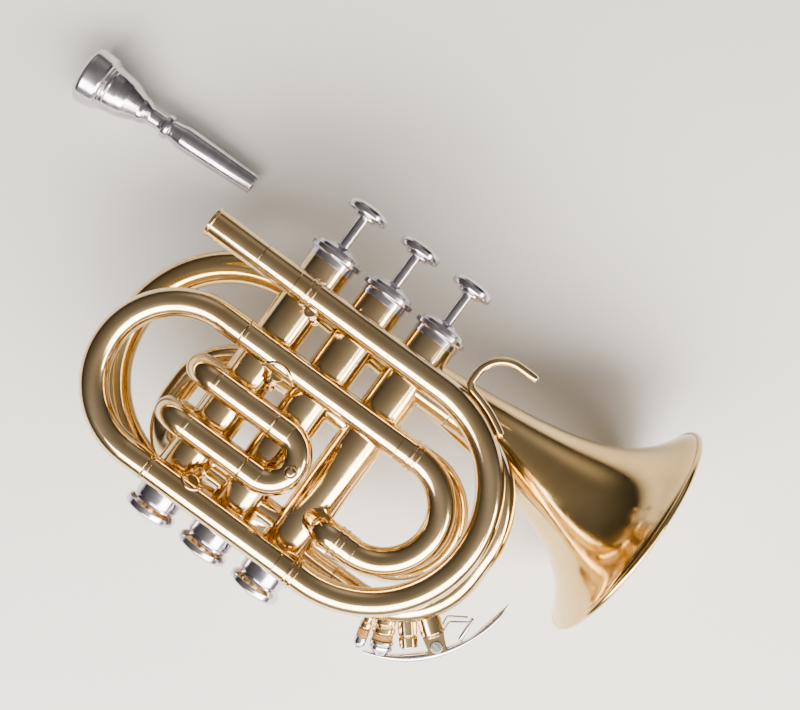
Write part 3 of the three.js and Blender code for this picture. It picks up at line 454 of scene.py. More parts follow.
def tube(corners, bends=(), radius=TUBE, widens=None, cuts=()):
    """A hollow tube along bent runs, cut to the pieces it is soldered to. It can widen from one radius
    to another."""
    points = bent_path(corners, bends)
    start, end = widens or (radius, radius)
    tapers = [(start + (end - start) * i / (len(points) - 1)) / radius for i in range(len(points))]
    return baked(path_mesh(points, tapers), by_tree(TUBE_TREE, radius=float(radius), sides=TUBE_SIDES),
                 with_wall(WALL), let_into(*cuts))


def wire(points, radius, looped=False):
    """A solid wire along the points, with round ends unless it is looped."""
    section = {"radius": float(radius), "sides": WIRE_SIDES}
    if looped:
        return baked(path_mesh(points, looped=True), by_tree(TUBE_TREE, **section))
    lengths = [0.0]
    for before, after in zip(points, points[1:]):
        lengths.append(lengths[-1] + (after - before).length)
    rounds = [radius * (1 - cos(step * pi / (2 * END_STEPS))) for step in range(1, END_STEPS)]
    marks = sorted({*lengths, *rounds, *(lengths[-1] - mark for mark in rounds)})
    placed, tapers = [], []
    for mark in marks:
        index = max(i for i, length in enumerate(lengths[:-1]) if length <= mark)
        share = (mark - lengths[index]) / (lengths[index + 1] - lengths[index])
        placed.append(points[index].lerp(points[index + 1], share))
        short = max(0.0, 1 - min(mark, lengths[-1] - mark) / radius)
        tapers.append(max(THINNEST, sqrt(1 - short * short)))
    return baked(path_mesh(placed, tapers), by_tree(TUBE_TREE, closed_ends=True, **section))


def coil(foot, top, radius, gauge, turns):
    """A spring from its foot to its top."""
    mesh = baked(bpy.data.meshes.new("blank"), by_tree(
        COIL_TREE, radius=float(radius), wire=float(gauge), length=(top - foot).length, turns=float(turns)))
    turn = UP.rotation_difference(top - foot).to_matrix().to_4x4()
    mesh.transform(Matrix.Translation(foot) @ turn)
    return mesh


def round_by(sides):
    """Evenly spaced angles round a circle."""
    return [2 * pi * i / sides for i in range(sides)]


def rounded(outline, closed):
    """An outline of (along, radius, rounding) with small arcs at its corners, eased either side."""
    points = []
    count = len(outline)
    for i, corner in enumerate(outline):
        here, reach = Vector(corner[:2]), 0
        if (closed or 0 < i < count - 1) and corner[2]:
            back = Vector(outline[i - 1][:2]) - here
            on = Vector(outline[(i + 1) % count][:2]) - here
            half = back.angle(on) / 2
            if half <= STRAIGHT:
                reach = min(corner[2] / tan(half),
                            RUN_SHARE * min(back.length, on.length) - SUPPORT)
        if reach <= SUPPORT:
            points.append(here)
            continue
        radius = reach * tan(half)
        back.normalize()
        on.normalize()
        centre = here + (back + on).normalized() * (radius / sin(half))
        first, last = here + back * reach - centre, here + on * reach - centre
        sweep = first.angle_signed(last)
        points.append(here + back * (reach + SUPPORT))
        for step in range(ROUNDING_STEPS + 1):
            turn = -sweep * step / ROUNDING_STEPS
            points.append(centre + Matrix.Rotation(turn, 2) @ first)
        points.append(here + on * (reach + SUPPORT))
    return points


def turned(outline, start, towards, closed=False, sides=TURN_SIDES):
    """An outline of distances and radii turned about a line. A closed outline leaves a bore; an open one
    starts with a flat end, and ends with one unless it comes to the line by itself."""
    if not closed:
        outline = [(outline[0][0], 0), *outline]
        if outline[-1][1]:
            outline.append((outline[-1][0], 0))
    axis = (towards - start).normalized()
    turn = UP.rotation_difference(axis)
    shape = bmesh.new()
    rings = []
    for along, radius in rounded(outline, closed):
        if radius < POLE:
            rings.append([shape.verts.new(start + axis * along)] * sides)
            continue
        rings.append([
            shape.verts.new(start + turn @ at(radius * cos(angle), radius * sin(angle), along))
            for angle in round_by(sides)
        ])
    pairs = list(zip(rings, rings[1:])) + ([(rings[-1], rings[0])] if closed else [])
    for near, far in pairs:
        bridge(shape, near, far)
    return smooth_mesh(shape)


def pipe(outside, bore, start, towards):
    """A pipe whose outside and bore are outlines from its start on."""
    return turned([*outside, *reversed(bore)], start, towards, closed=True)


def bridge(shape, near, far):
    """Faces between two rings of points; a ring drawn together to a pole gets triangles."""
    for i in range(len(near)):
        j = (i + 1) % len(near)
        corners = list(dict.fromkeys((near[i], near[j], far[j], far[i])))
        if len(corners) > 2:
            shape.faces.new(corners)


def capped(shape, rings):
    """A closed mesh through rings of points."""
    for near, far in zip(rings, rings[1:]):
        bridge(shape, near, far)
    shape.faces.new(rings[0])
    shape.faces.new(rings[-1])
    return smooth_mesh(shape)


def joined(*meshes):
    """Several meshes as one."""
    shape = bmesh.new()
    for mesh in meshes:
        shape.from_mesh(mesh)
        bpy.data.meshes.remove(mesh)
    return smooth_mesh(shape)


def beads(middle, base):
    """Outline of two narrow beads side by side on a tube."""
    outline = []
    for centre in (middle - BEAD_PITCH / 2, middle + BEAD_PITCH / 2):
        low, high = centre - BEAD_WIDTH / 2, centre + BEAD_WIDTH / 2
        outline += [(low, base, 0.1), (low, BEAD, 0.6), (high, BEAD, 0.6), (high, base, 0.1)]
    return outline


# Finishes


def linear(colour):
    """An sRGB hex colour as linear values."""
    parts = [int(colour[i:i + 2], 16) / 255 for i in (1, 3, 5)]
    return [*((c / 12.92 if c <= 0.04045 else ((c + 0.055) / 1.055) ** 2.4) for c in parts), 1]


def mottled(tree, place, size, low, high, detail=2.0, stretch=(1, 1, 1)):
    """Soft noise of this size in millimetres, as values from low to high."""
    turn = add(tree, "ShaderNodeMapping", values={"Scale": stretch}, links={"Vector": place})
    noise = add(tree, "ShaderNodeTexNoise", values={"Scale": 1 / (size * MM), "Detail": detail},
                links={"Vector": turn})
    spread = add(tree, "ShaderNodeMapRange", links={"Value": noise.outputs["Fac"]},
                 values={"From Min": 0.3, "From Max": 0.7, "To Min": low, "To Max": high})
    return spread.outputs[0]


def between(tree, share, first, second):
    """A colour between two, by a share."""
    made = add(tree, "ShaderNodeMix", {"data_type": "RGBA"}, links={"Factor": share})
    made.inputs[6].default_value = linear(first)
    made.inputs[7].default_value = linear(second)
    return made.outputs[2]


def uneven(tree, shader, height, depth):
    """Lets a pattern of heights raise the surface by a depth in millimetres."""
    bump = add(tree, "ShaderNodeBump", values={"Strength": 1.0, "Distance": depth * MM},
               links={"Height": height})
    tree.links.new(bump.outputs[0], shader.inputs["Normal"])


def finish(name, patch, light, dark, detail=2.0):
    """A new material that drifts between two colours in patches of this size in millimetres. Given back
    with its node tree, its surface shader and where a point of the piece is."""
    material = bpy.data.materials.new(name)
    material.use_nodes = True
    tree = material.node_tree
    shader = tree.nodes["Principled BSDF"]
    place = add(tree, "ShaderNodeTexCoord").outputs["Object"]
    tree.links.new(between(tree, mottled(tree, place, patch, 0, 1, detail), light, dark),
                   shader.inputs["Base Color"])
    return material, tree, shader, place


def metal(name, patch, light, dark, haze, marks, depth):
    """A metal: haze is the noise in its roughness, marks the noise that raises its surface by a depth in
    millimetres."""
    material, tree, shader, place = finish(name, patch, light, dark)
    shader.inputs["Metallic"].default_value = 1
    tree.links.new(mottled(tree, place, *haze), shader.inputs["Roughness"])
    uneven(tree, shader, mottled(tree, place, *marks), depth)
    return material


def lacquered_brass(name, light, dark):
    """Yellow brass, buffed and sprayed with clear lacquer: mirror bright and warm, faintly rippled."""
    # The ripple, 3 mm apart and a few thousandths deep, breaks the reflections' edges a little
    material = metal(name, 22, light, dark, (9, 0.10, 0.17), (3, 0, 1, 1.0), 0.006)
    shader = material.node_tree.nodes["Principled BSDF"]
    shader.inputs["Coat Weight"].default_value = 0.35
    shader.inputs["Coat Roughness"].default_value = 0.06
    return material


def cut_cork():
    """Natural cork, sliced and sanded: pale tan grains with dark pores and a dry, matt face."""
    material, tree, shader, place = finish("cork_sliced", 0.9, "#c39a68", "#8a6239", 4.0)
    pores = add(tree, "ShaderNodeTexVoronoi", values={"Scale": 1 / (0.7 * MM)}, links={"Vector": place})
    shader.inputs["Roughness"].default_value = 0.85
    uneven(tree, shader, pores.outputs["Distance"], 0.12)
    return material


BRASS = lacquered_brass("brass_lacquered", "#ead4ae", "#dfc397")
# The bell and the bell bow get a darker copy of the same brass: painted shade, standing in for the dark
# reflections these low back pieces show
SHADED_BELL_BRASS = lacquered_brass("brass_lacquered_bell", "#e2c898", "#d3b582")
# Silver plate over brass, polished, then handled: cool and bright with soft hazy patches. Its wiping
# marks are drawn at 1.5 mm where real ones are finer, so that they show
SILVER = metal("silver_plate_polished", 7, "#e2dfe4", "#c9c5cf", (4, 0.12, 0.24), (1.5, 0, 1, 3.0), 0.003)
# Ground steel with a film of oil: grey, with fine rings left by the wheel
STEEL = metal("steel_ground", 5, "#a9a9a7", "#8b8c8e", (2, 0.2, 0.34, 2.0, (0.2, 6, 0.2)),
              (0.8, 0, 1, 2.0, (0.1, 4, 0.1)), 0.004)
CORK = cut_cork()


def piece(node, mesh, material, body, replaces=True):
    """Puts a mesh from the drawing into the frame as the finished piece for a node of the solids."""
    name = f"{node}_finished" if replaces else node
    mesh.transform(Matrix.Translation(DRAWING_ORIGIN) @ Matrix.Scale(MM, 4))
    mesh.materials.clear()
    mesh.materials.append(material)
    mesh.name = name
    made = put(name, mesh)
    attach(made, body)
    if replaces:
        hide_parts(node)


def on_horn(mesh, node, material=BRASS):
    """A piece of the fixed horn."""
    piece(node, mesh, material, "horn")


# The camera looks straight down from where the photograph was taken
CAMERA_HEIGHT = 563
CAMERA_TURN = radians(36.3)
CAMERA_LENS = 55.3


def place_camera():
    camera = bpy.data.cameras.new("camera")
    camera.lens = CAMERA_LENS
    camera.sensor_width = 36
    camera.clip_start = 0.01
    holder = put("camera", camera)
    holder.location = DRAWING_ORIGIN + at(0, 0, CAMERA_HEIGHT) * MM
    holder.rotation_euler = (0, 0, CAMERA_TURN)
    scene.camera = holder


# What the cut ends of tubes follow: each casing, a little inside its outside
def casing_cutter(number):
    radius = CASING - CUT_DEPTH
    length = CASING_TOP_Y - CASING_BOTTOM_Y
    mesh = turned([(0, radius, 0), (length, radius, 0)],
                  at(valve_x(number), CASING_BOTTOM_Y), at(valve_x(number), CASING_TOP_Y))
    cutter = put(f"cutter_{number}", mesh)
    cutter.hide_render = True
    return cutter


CUTTERS = {number: casing_cutter(number) for number in (1, 2, 3)}


# Leadpipe, receiver and front bow


def make_leadpipe():
    mouth, end = front(MOUTH_X, LEAD_Y), front(LEAD_END_X, LEAD_Y)
    length = LEAD_END_X - MOUTH_X
    bore = TUBE - WALL
    on_horn(pipe(
        [(0, 6.0, 0.4), (0.3, 6.3, 0.3), (1.4, 6.3, 0.4), (1.7, 5.95, 0.2),
         (RECEIVER_LENGTH, TUBE + 0.02, SEAM)],
        [(0, 5.0, 0.4), (RECEIVER_LENGTH, bore, 0)], mouth, end), "mouthpiece_receiver")
    start = length - FERRULE_LENGTH
    on_horn(pipe(
        [(RECEIVER_LENGTH + SEAM, TUBE, SEAM), (start, TUBE, 0.1), (start + 0.3, TUBE + 0.2, 0.1),
         *beads(length - 1.9, TUBE + 0.2), (length, TUBE + 0.2, 0.1)],
        [(RECEIVER_LENGTH + SEAM, bore, 0), (length, bore, 0)], mouth, end), "leadpipe")


def front_bow(first, turn_x, last, bend, radius=TUBE):
    """A bow of the front layer, from one (x, y) to the other, that turns back at turn_x."""
    corners = [first, (turn_x, first[1]), (turn_x, last[1]), last]
    return tube([front(x, y) for x, y in corners], (bend, bend), radius=radius)


def make_front_bow():
    on_horn(front_bow((LEAD_END_X - FERRULE_LENGTH / 2, LEAD_Y), FRONT_BOW_X + FRONT_BOW,
                      (LOWER_FERRULE_X - FERRULE_LENGTH / 2, LOWER_Y), FRONT_BOW, TUBE - IN_FERRULE),
            "front_bow")


def outer_tube(start, end):
    """A sleeve with a beaded ferrule at its start and a ring where the slide enters."""
    length = (end - start).length
    outside = [(0, TUBE + 0.2, 0.1), *beads(1.9, TUBE + 0.2), (FERRULE_LENGTH, TUBE + 0.2, 0.1),
               (FERRULE_LENGTH + 0.3, TUBE, 0.1), (length - RING_WIDTH, TUBE, 0.15),
               (length - RING_WIDTH, RING, 0.45), (length, RING, 0.45)]
    return pipe(outside, [(0, TUBE - WALL / 2, 0), (length, TUBE - WALL, SEAM)], start, end)


def ringed_sleeve(start, end, cutter):
    """A plain sleeve let into a casing, with a ring at its open end."""
    back = (start - end).normalized() * RING_WIDTH
    ring = pipe([(0, TUBE - 0.05, 0), (0, RING, 0.45), (RING_WIDTH, RING, 0.45)],
                [(0, TUBE - WALL, 0), (RING_WIDTH, TUBE - WALL, SEAM)], end + back, end)
    return joined(tube([start, end + back], cuts=[cutter]), ring)


def slide_leg(bow_end, sleeve_end, leg_length):
    """The band at the end of a slide's bow, and the thinner leg that runs on into the sleeve."""
    band = (sleeve_end - bow_end).length - 0.3
    end = band + leg_length
    return pipe(
        [(-RING_WIDTH, TUBE - 0.1, 0.1), (-RING_WIDTH, BAND, SEAM), (band, BAND, 0.3), (band, LEG, 0.1),
         (end, LEG, 0.3)],
        [(-RING_WIDTH, LEG_BORE, 0), (end, LEG_BORE, SEAM)], bow_end, sleeve_end)


def make_slide(node, bow, ends, leg_length, body):
    """A slide's bow with its legs, for each of which ends says where the bow and the sleeve end."""
    piece(node, joined(bow, *(slide_leg(*pair, leg_length) for pair in ends)), BRASS, body)


def make_tuning_slide():
    bow = front_bow((TUNING_BOW_X, LOWER_Y), TUNING_BOW_X - TUNING_BOW, (TUNING_BOW_X, MIDDLE_Y),
                    TUNING_BOW)
    ends = [(front(TUNING_BOW_X, y), front(TUNING_SLEEVE_X, y)) for y in (LOWER_Y, MIDDLE_Y)]
    make_slide("tuning_slide", bow, ends, TUNING_LEG, "main_tuning_slide")
    for row, x, y in (("lower", LOWER_FERRULE_X, LOWER_Y), ("middle", INLET_BOW_X, MIDDLE_Y)):
        on_horn(outer_tube(front(x, y), front(TUNING_SLEEVE_X, y)), f"{row}_outer_tube")


def make_inlet():
    joint = INLET_FERRULE_X + FERRULE_LENGTH / 2
    on_horn(front_bow((INLET_BOW_X - FERRULE_LENGTH / 2, MIDDLE_Y), INLET_BOW_X + INLET_BOW,
                      (joint, INLET_LOWER_Y), INLET_BOW, TUBE - IN_FERRULE), "inlet_bow")
    on_horn(pipe(
        [(0, TUBE + 0.25, 0.1), *beads(1.9, TUBE + 0.25), (FERRULE_LENGTH - 0.3, TUBE + 0.25, 0.1),
         (FERRULE_LENGTH, TUBE, 0.1)],
        [(0, TUBE - WALL / 2, 0), (FERRULE_LENGTH, TUBE - WALL / 2, 0)],
        front(INLET_FERRULE_X, INLET_LOWER_Y), front(joint, INLET_LOWER_Y)), "inlet_ferrule")
    corner = VALVE_3_X + (FRONT_Z - VALVE_Z) / tan(ELBOW_ANGLE)
    on_horn(tube(
        [front(joint, INLET_LOWER_Y), front(corner, INLET_LOWER_Y),
         at(VALVE_3_X, INLET_LOWER_Y)], (ELBOW_BEND,), cuts=[CUTTERS[3]]), "inlet_elbow")


# Valves


def make_casing(number):
    x = valve_x(number)
    foot, top = at(x, CASING_BOTTOM_Y), at(x, CASING_TOP_Y)
    length = CASING_TOP_Y - CASING_BOTTOM_Y
    on_horn(pipe([(0, CASING, SEAM), (length, CASING, SEAM)],
                 [(0, CASING_BORE, 0), (length, CASING_BORE, 0)], foot, top), f"valve_{number}_casing")
    # Top cap: a sleeve as wide as the casing, a thin flange with a raised edge, and a low stepped dome
    skirt = CASING_TOP_Y - 4.6
    on_horn(pipe(
        [(0, 10.1, 0.15), (3.0, 10.1, 0.3), (3.1, 11.35, 0.3), (3.6, 11.6, 0.25), (5.4, 11.6, 0.3),
         (5.5, 11.1, 0.2), (5.1, 10.7, 0.2), (5.2, 10.2, 0.3), (6.9, 9.9, 0.5), (8.1, 6.9, 0.8),
         (8.4, 4.6, 0.4), (9.1, 4.3, 0.3), (9.1, 2.8, 0.2)],
        [(0, 9.86, 0), (5.0, 9.86, 0), (5.2, 8.8, 0.1), (6.6, 8.4, 0.4), (7.6, 4.2, 0.4),
         (8.0, 2.8, 0.2)],
        at(x, skirt), top), f"valve_{number}_top_cap", SILVER)
    # Bottom cap: a sleeve flush with the casing, a neck, then a wider rounded rim and a vent hole
    floor = CASING_BOTTOM_Y - 13
    on_horn(pipe(
        [(0.5, 1.6, 0.2), (0.5, 6.8, 0.5), (0, 7.4, 0.4), (0, 10.2, 0.7), (0.9, 11.0, 0.6),
         (3.0, 11.0, 0.8), (3.9, 10.2, 0.5), (4.6, 9.5, 0.5), (5.6, 9.3, 0.5), (6.2, 9.8, 0.3),
         (13.0, 9.85, 0.1)],
        [(1.8, 1.6, 0.2), (2.0, 7.6, 0.6), (13.0, 7.6, 0.1)],
        at(x, floor), foot), f"valve_{number}_bottom_cap", SILVER)


def make_piston(number):
    x, body = valve_x(number), f"valve_{number}"
    top = at(x, PISTON_TOP_Y)
    down = at(x, PISTON_BOTTOM_Y)
    length = PISTON_TOP_Y - PISTON_BOTTOM_Y
    piece(f"{body}_piston", turned(
        [(0, PISTON, 0.4), (length, PISTON, 0.4), (length, 7.3, 0.2), (1.2, 7.3, 0.3)],
        top, down), STEEL, body)
    up = at(x, BUTTON_TOP_Y)
    piece(f"{body}_stem", turned(
        [(0, 5, 0.3), (1.5, 5, 0.3), (1.5, STEM + 0.4, 0.4), (2.6, STEM, 0.4),
         (BUTTON_SEAT, STEM, 0.1)], top, up), SILVER, body)
    # Button: a small boss under a thin plate with a rolled edge and a low dome
    piece(f"{body}_finger_button", turned(
        [(0, 3.0, 0.2), (0.3, 5.0, 0.4), (1.6, 5.0, 0.4), (1.7, 3.6, 0.3), (2.1, 3.6, 0.3),
         (2.1, 7.2, 0.3), (1.5, 8.0, 0.3), (1.5, 8.6, 0.3), (2.2, 9.0, 0.4), (3.8, 9.0, 0.5),
         (4.9, 8.3, 0.6), (5.8, 6.4, 1.5), (6.3, 4.2, 2.5), (6.45, 2.0, 2.5), (6.5, 0)],
        at(x, PISTON_TOP_Y + BUTTON_SEAT), up), SILVER, body)


def make_valve_spring(number):
    x = valve_x(number)
    on_horn(coil(at(x, SPRING_FLOOR_Y + 0.6), at(x, SPRING_FLOOR_Y + SPRING_LENGTH),
                 SPRING_RADIUS, SPRING_WIRE, SPRING_TURNS), f"valve_{number}_spring", STEEL)


def make_knuckles(number):
    for row, y in zip(("upper", "lower"), KNUCKLE_YS):
        on_horn(tube([at(valve_x(number), y), at(valve_x(number + 1), y)],
                     radius=KNUCKLE, cuts=[CUTTERS[number], CUTTERS[number + 1]]),
                f"{row}_knuckle_{number}")


# Slides of the three valves


def make_first_slide():
    turn = (FRONT_Z - VALVE_Z) / 2
    left = FIRST_ELBOW_X - turn - 0.3
    lower = FIRST_UPPER_Y - 2 * FIRST_BOW
    for row, y in (("upper", FIRST_UPPER_Y), ("lower", lower)):
        on_horn(tube(
            [front(FIRST_ELBOW_X, y), front(left, y), at(left, y),
             at(valve_x(1), y)], (turn, turn), cuts=[CUTTERS[1]]), f"first_slide_{row}_elbow")
        length = FIRST_SLEEVE_END_X - FIRST_ELBOW_X
        on_horn(pipe(
            [(0, BAND, 0.3), (1.4, BAND, 0.3), (1.5, TUBE, 0.1), (length - 1.2, TUBE, 0.1),
             (length - 1.1, RING - 0.1, 0.4), (length, RING - 0.1, 0.4)],
            [(0, TUBE - WALL, 0), (length, TUBE - WALL, SEAM)],
            front(FIRST_ELBOW_X, y), front(FIRST_SLEEVE_END_X, y)), f"first_slide_{row}_sleeve")
    right = FIRST_BOW_X + FIRST_BOW
    bow = front_bow((FIRST_BOW_X, FIRST_UPPER_Y), right, (FIRST_BOW_X, lower), FIRST_BOW)
    ends = [(front(FIRST_BOW_X, y), front(FIRST_SLEEVE_END_X, y))
            for y in (FIRST_UPPER_Y, lower)]
    make_slide("first_slide_bow", bow, ends, FIRST_LEG, "first_slide")
    foot = at(right, FIRST_UPPER_Y - FIRST_BOW, FRONT_Z + TUBE - 0.3)
    piece("first_slide_knob", turned(
        [(0, 2.6, 0.2), (0.7, 2.5, 0.3), (1.3, 1.4, 0.5), (2.2, 1.4, 0.5), (2.7, 2.3, 0.4),
         (3.4, 2.6, 0.8), (4.6, 2.4, 1.0), (5.5, 1.3, 1.0), (5.6, 0)],
        foot, foot + at(0, 0, KNOB_HEIGHT)), BRASS, "first_slide")


def make_second_slide():
    x = valve_x(2)
    sleeve_end = VALVE_Z - CASING - SECOND_SLEEVE
    bow_z = SECOND_BOW + TUBE
    lower = SECOND_UPPER_Y - 2 * SECOND_BOW
    for row, y in (("upper", SECOND_UPPER_Y), ("lower", lower)):
        on_horn(ringed_sleeve(at(x, y), at(x, y, sleeve_end), CUTTERS[2]),
                f"second_slide_{row}_sleeve")
    bow = tube(
        [at(x, SECOND_UPPER_Y, bow_z), at(x, SECOND_UPPER_Y, TUBE), at(x, lower, TUBE),
         at(x, lower, bow_z)], (SECOND_BOW, SECOND_BOW))
    ends = [(at(x, y, bow_z), at(x, y, sleeve_end)) for y in (SECOND_UPPER_Y, lower)]
    make_slide("second_slide_bow", bow, ends, SECOND_LEG, "second_slide")


def make_third_slide():
    start = THIRD_SLEEVE_END_X + RING_WIDTH + 0.4
    corners = [at(start, *THIRD_UPPER), at(THIRD_RIGHT_X, *THIRD_UPPER), at(THIRD_RIGHT_X, *THIRD_LOWER),
               at(start, *THIRD_LOWER)]
    ends = []
    for row, (y, z) in (("upper", THIRD_UPPER), ("lower", THIRD_LOWER)):
        end = at(THIRD_SLEEVE_END_X, y, z)
        on_horn(ringed_sleeve(at(VALVE_3_X, y, z), end, CUTTERS[3]), f"third_slide_{row}_sleeve")
        ends.append((at(start, y, z), end))
    make_slide("third_slide_bow", tube(corners, THIRD_BENDS), ends, THIRD_LEG, "third_slide")


# Water key


def on_bend(angle, height, z=VALVE_Z):
    """A point round the outside of the third slide's lower bend."""
    bend = THIRD_BENDS[1]
    radius = bend + TUBE + height
    return at(THIRD_RIGHT_X - bend + radius * cos(angle),
              THIRD_LOWER[0] + bend + radius * sin(angle), z)


PIVOT = on_bend(PIVOT_ANGLE, PIVOT_HEIGHT)


def strap(angles, height, half_width, half_thickness):
    """A strap that follows the bend; its half width and height come from rules of its share along."""
    shape = bmesh.new()
    steps, corner_steps = 60, 5
    rings = []
    for step in range(steps + 1):
        share = step / steps
        angle = angles[0] + (angles[1] - angles[0]) * share
        across, thick = half_width(share), half_thickness(share)
        soft = min(across, thick) * 0.8
        ring = []
        for quarter, (side, rise) in enumerate(((1, 1), (-1, 1), (-1, -1), (1, -1))):
            for i in range(corner_steps + 1):
                turn = (quarter + i / corner_steps) * pi / 2
                ring.append(shape.verts.new(on_bend(
                    angle, height(share) + rise * (thick - soft) + soft * sin(turn),
                    VALVE_Z + side * (across - soft) + soft * cos(turn))))
        rings.append(ring)
    return capped(shape, rings)


def standing(angle, outline, height=0.0):
    """A turned piece that stands out from the bend at an angle."""
    return turned(outline, on_bend(angle, height), on_bend(angle, height + 10), sides=TUBE_SIDES)


def make_saddle():
    """A round stand with a cheek either side of the pin, the second post, and the pin."""
    stand = standing(PIVOT_ANGLE, [
        (-1.4, 4.9, 0.1), (5.6, 4.9, 0.4), (5.9, 4.2, 0.2), (6.2, 4.2, 0.2), (6.4, 4.7, 0.3),
        (6.9, 4.7, 0.3)])
    second_post = standing(SECOND_POST_ANGLE, [
        (-1.4, 3.9, 0.1), (4.6, 3.9, 0.4), (4.8, 3.3, 0.2), (5.2, 3.3, 0.2), (5.4, 3.9, 0.3),
        (9.6, 3.9, 0.5), (9.8, 3.0, 0.3)])
    cheeks = []
    for side in (1, -1):
        z = VALVE_Z + side * 3.4
        low, high = on_bend(PIVOT_ANGLE, 5.8, z), on_bend(PIVOT_ANGLE, PIVOT_HEIGHT + 3, z)
        across = (high - low).normalized().cross(UP)
        shape = bmesh.new()
        corners = [shape.verts.new(point + sign * across * half + lift * UP * 0.6)
                   for point, half in ((low, 4.4), (high, 3.4)) for sign in (-1, 1) for lift in (-1, 1)]
        bmesh.ops.convex_hull(shape, input=corners)
        bmesh.ops.bevel(shape, geom=shape.edges[:], offset=0.25, segments=3, affect="EDGES")
        cheeks.append(smooth_mesh(shape))
    piece("water_key_saddle", joined(stand, second_post, *cheeks), BRASS, "third_slide")
    piece("water_key_pin", turned(
        [(0, 2.4, 0.3), (0.6, 2.6, 0.3), (0.7, 1.0, 0.1), (8.5, 1.0, 0.1), (8.6, 2.6, 0.3),
         (9.2, 2.4, 0.3)], PIVOT - UP * 4.6, PIVOT + UP, sides=WIRE_SIDES * 2),
        STEEL, "third_slide")


def make_lever():
    """A crescent, thick over its pivot, that narrows to a thumb pad, with a cup for each cork."""
    barrel = pipe([(0, 3.0, 0.3), (LEVER_WIDTH, 3.0, 0.3)], [(0, 1.1, 0.1), (LEVER_WIDTH, 1.1, 0.1)],
                  PIVOT - UP * LEVER_WIDTH / 2, PIVOT + UP)
    blade = strap(LEVER_ANGLES, lambda s: LEVER_HEIGHT - 1.0 + 0.9 * s,
                  lambda s: 0.8 + 1.7 * sin(pi * min(1.0, 0.1 + 0.95 * s)) ** 0.5,
                  lambda s: 0.35 + 1.35 * max(0.0, sin(pi * s / 0.74)) ** 1.2 * (s < 0.74)
                  + 1.0 * max(0.0, sin(pi * (s - 0.68) / 0.32)) * (s > 0.68))
    foot = SPOUT_HEIGHT + CORK_THICKNESS + 0.1
    cup = standing(SPOUT_ANGLE, [
        (0, 4.1, 0.1), (-0.8, 4.2, 0.1), (-0.8, 4.9, 0.3), (0.6, 4.9, 0.3), (0.8, 4.4, 0.2),
        (1.2, 4.4, 0.2), (1.4, 4.9, 0.3), (2.6, 4.7, 0.5), (3.8, 3.4, 0.8), (4.8, 2.6, 0.3)], foot)
    first_cup = standing(FIRST_POST_ANGLE, [
        (0, 2.5, 0.3), (2.8, 2.5, 0.6), (3.8, 1.6, 0.5), (4.6, 1.2, 0.3)], foot)
    lug = wire(bent_path([on_bend(-0.47, 12.6), on_bend(-0.276, 7.9)]), 0.95)
    piece("water_key_lever", joined(blade, barrel, cup, first_cup, lug), SILVER, "water_key")


def make_water_key():
    piece("water_key_spout", joined(
        standing(SPOUT_ANGLE, [
            (-1.2, 4.4, 0.1), (0.9, 4.4, 0.4), (1.1, 3.6, 0.3), (1.9, 3.6, 0.3), (2.1, 4.7, 0.4),
            (4.4, 4.7, 0.4), (4.7, 3.6, 0.2), (4.7, 1.4, 0.1), (-0.8, 1.4, 0)]),
        standing(FIRST_POST_ANGLE, [
            (-1.4, 2.0, 0.1), (1.9, 2.0, 0.3), (2.1, 2.5, 0.3), (4.4, 2.5, 0.4), (4.6, 1.6, 0.3)])),
        BRASS, "third_slide")
    make_saddle()
    make_lever()
    corks = (standing(angle, [(0, radius, 0.3), (CORK_THICKNESS, radius, 0.2)], SPOUT_HEIGHT + 0.05)
             for angle, radius in ((SPOUT_ANGLE, 4.15), (FIRST_POST_ANGLE, 2.4)))
    piece("water_key_cork", joined(*corks), CORK, "water_key")
    arms = []
    for lift, heights in ((1.7, (7.6, 3.6, 8.4)), (-1.7, (6.8, 1.9, 6.7))):
        points = [on_bend(angle, height, VALVE_Z + lift)
                  for angle, height in zip((-0.6, -0.47, -0.31), heights)]
        arms.append(wire(bent_path(points, (1.4,)), 0.42))
        arms.append(coil(PIVOT + UP * (lift - 0.7), PIVOT + UP * (lift + 0.7), 3.5, 0.4, 2))
    piece("water_key_spring", joined(*arms), STEEL, "water_key")


# Bell line and bell


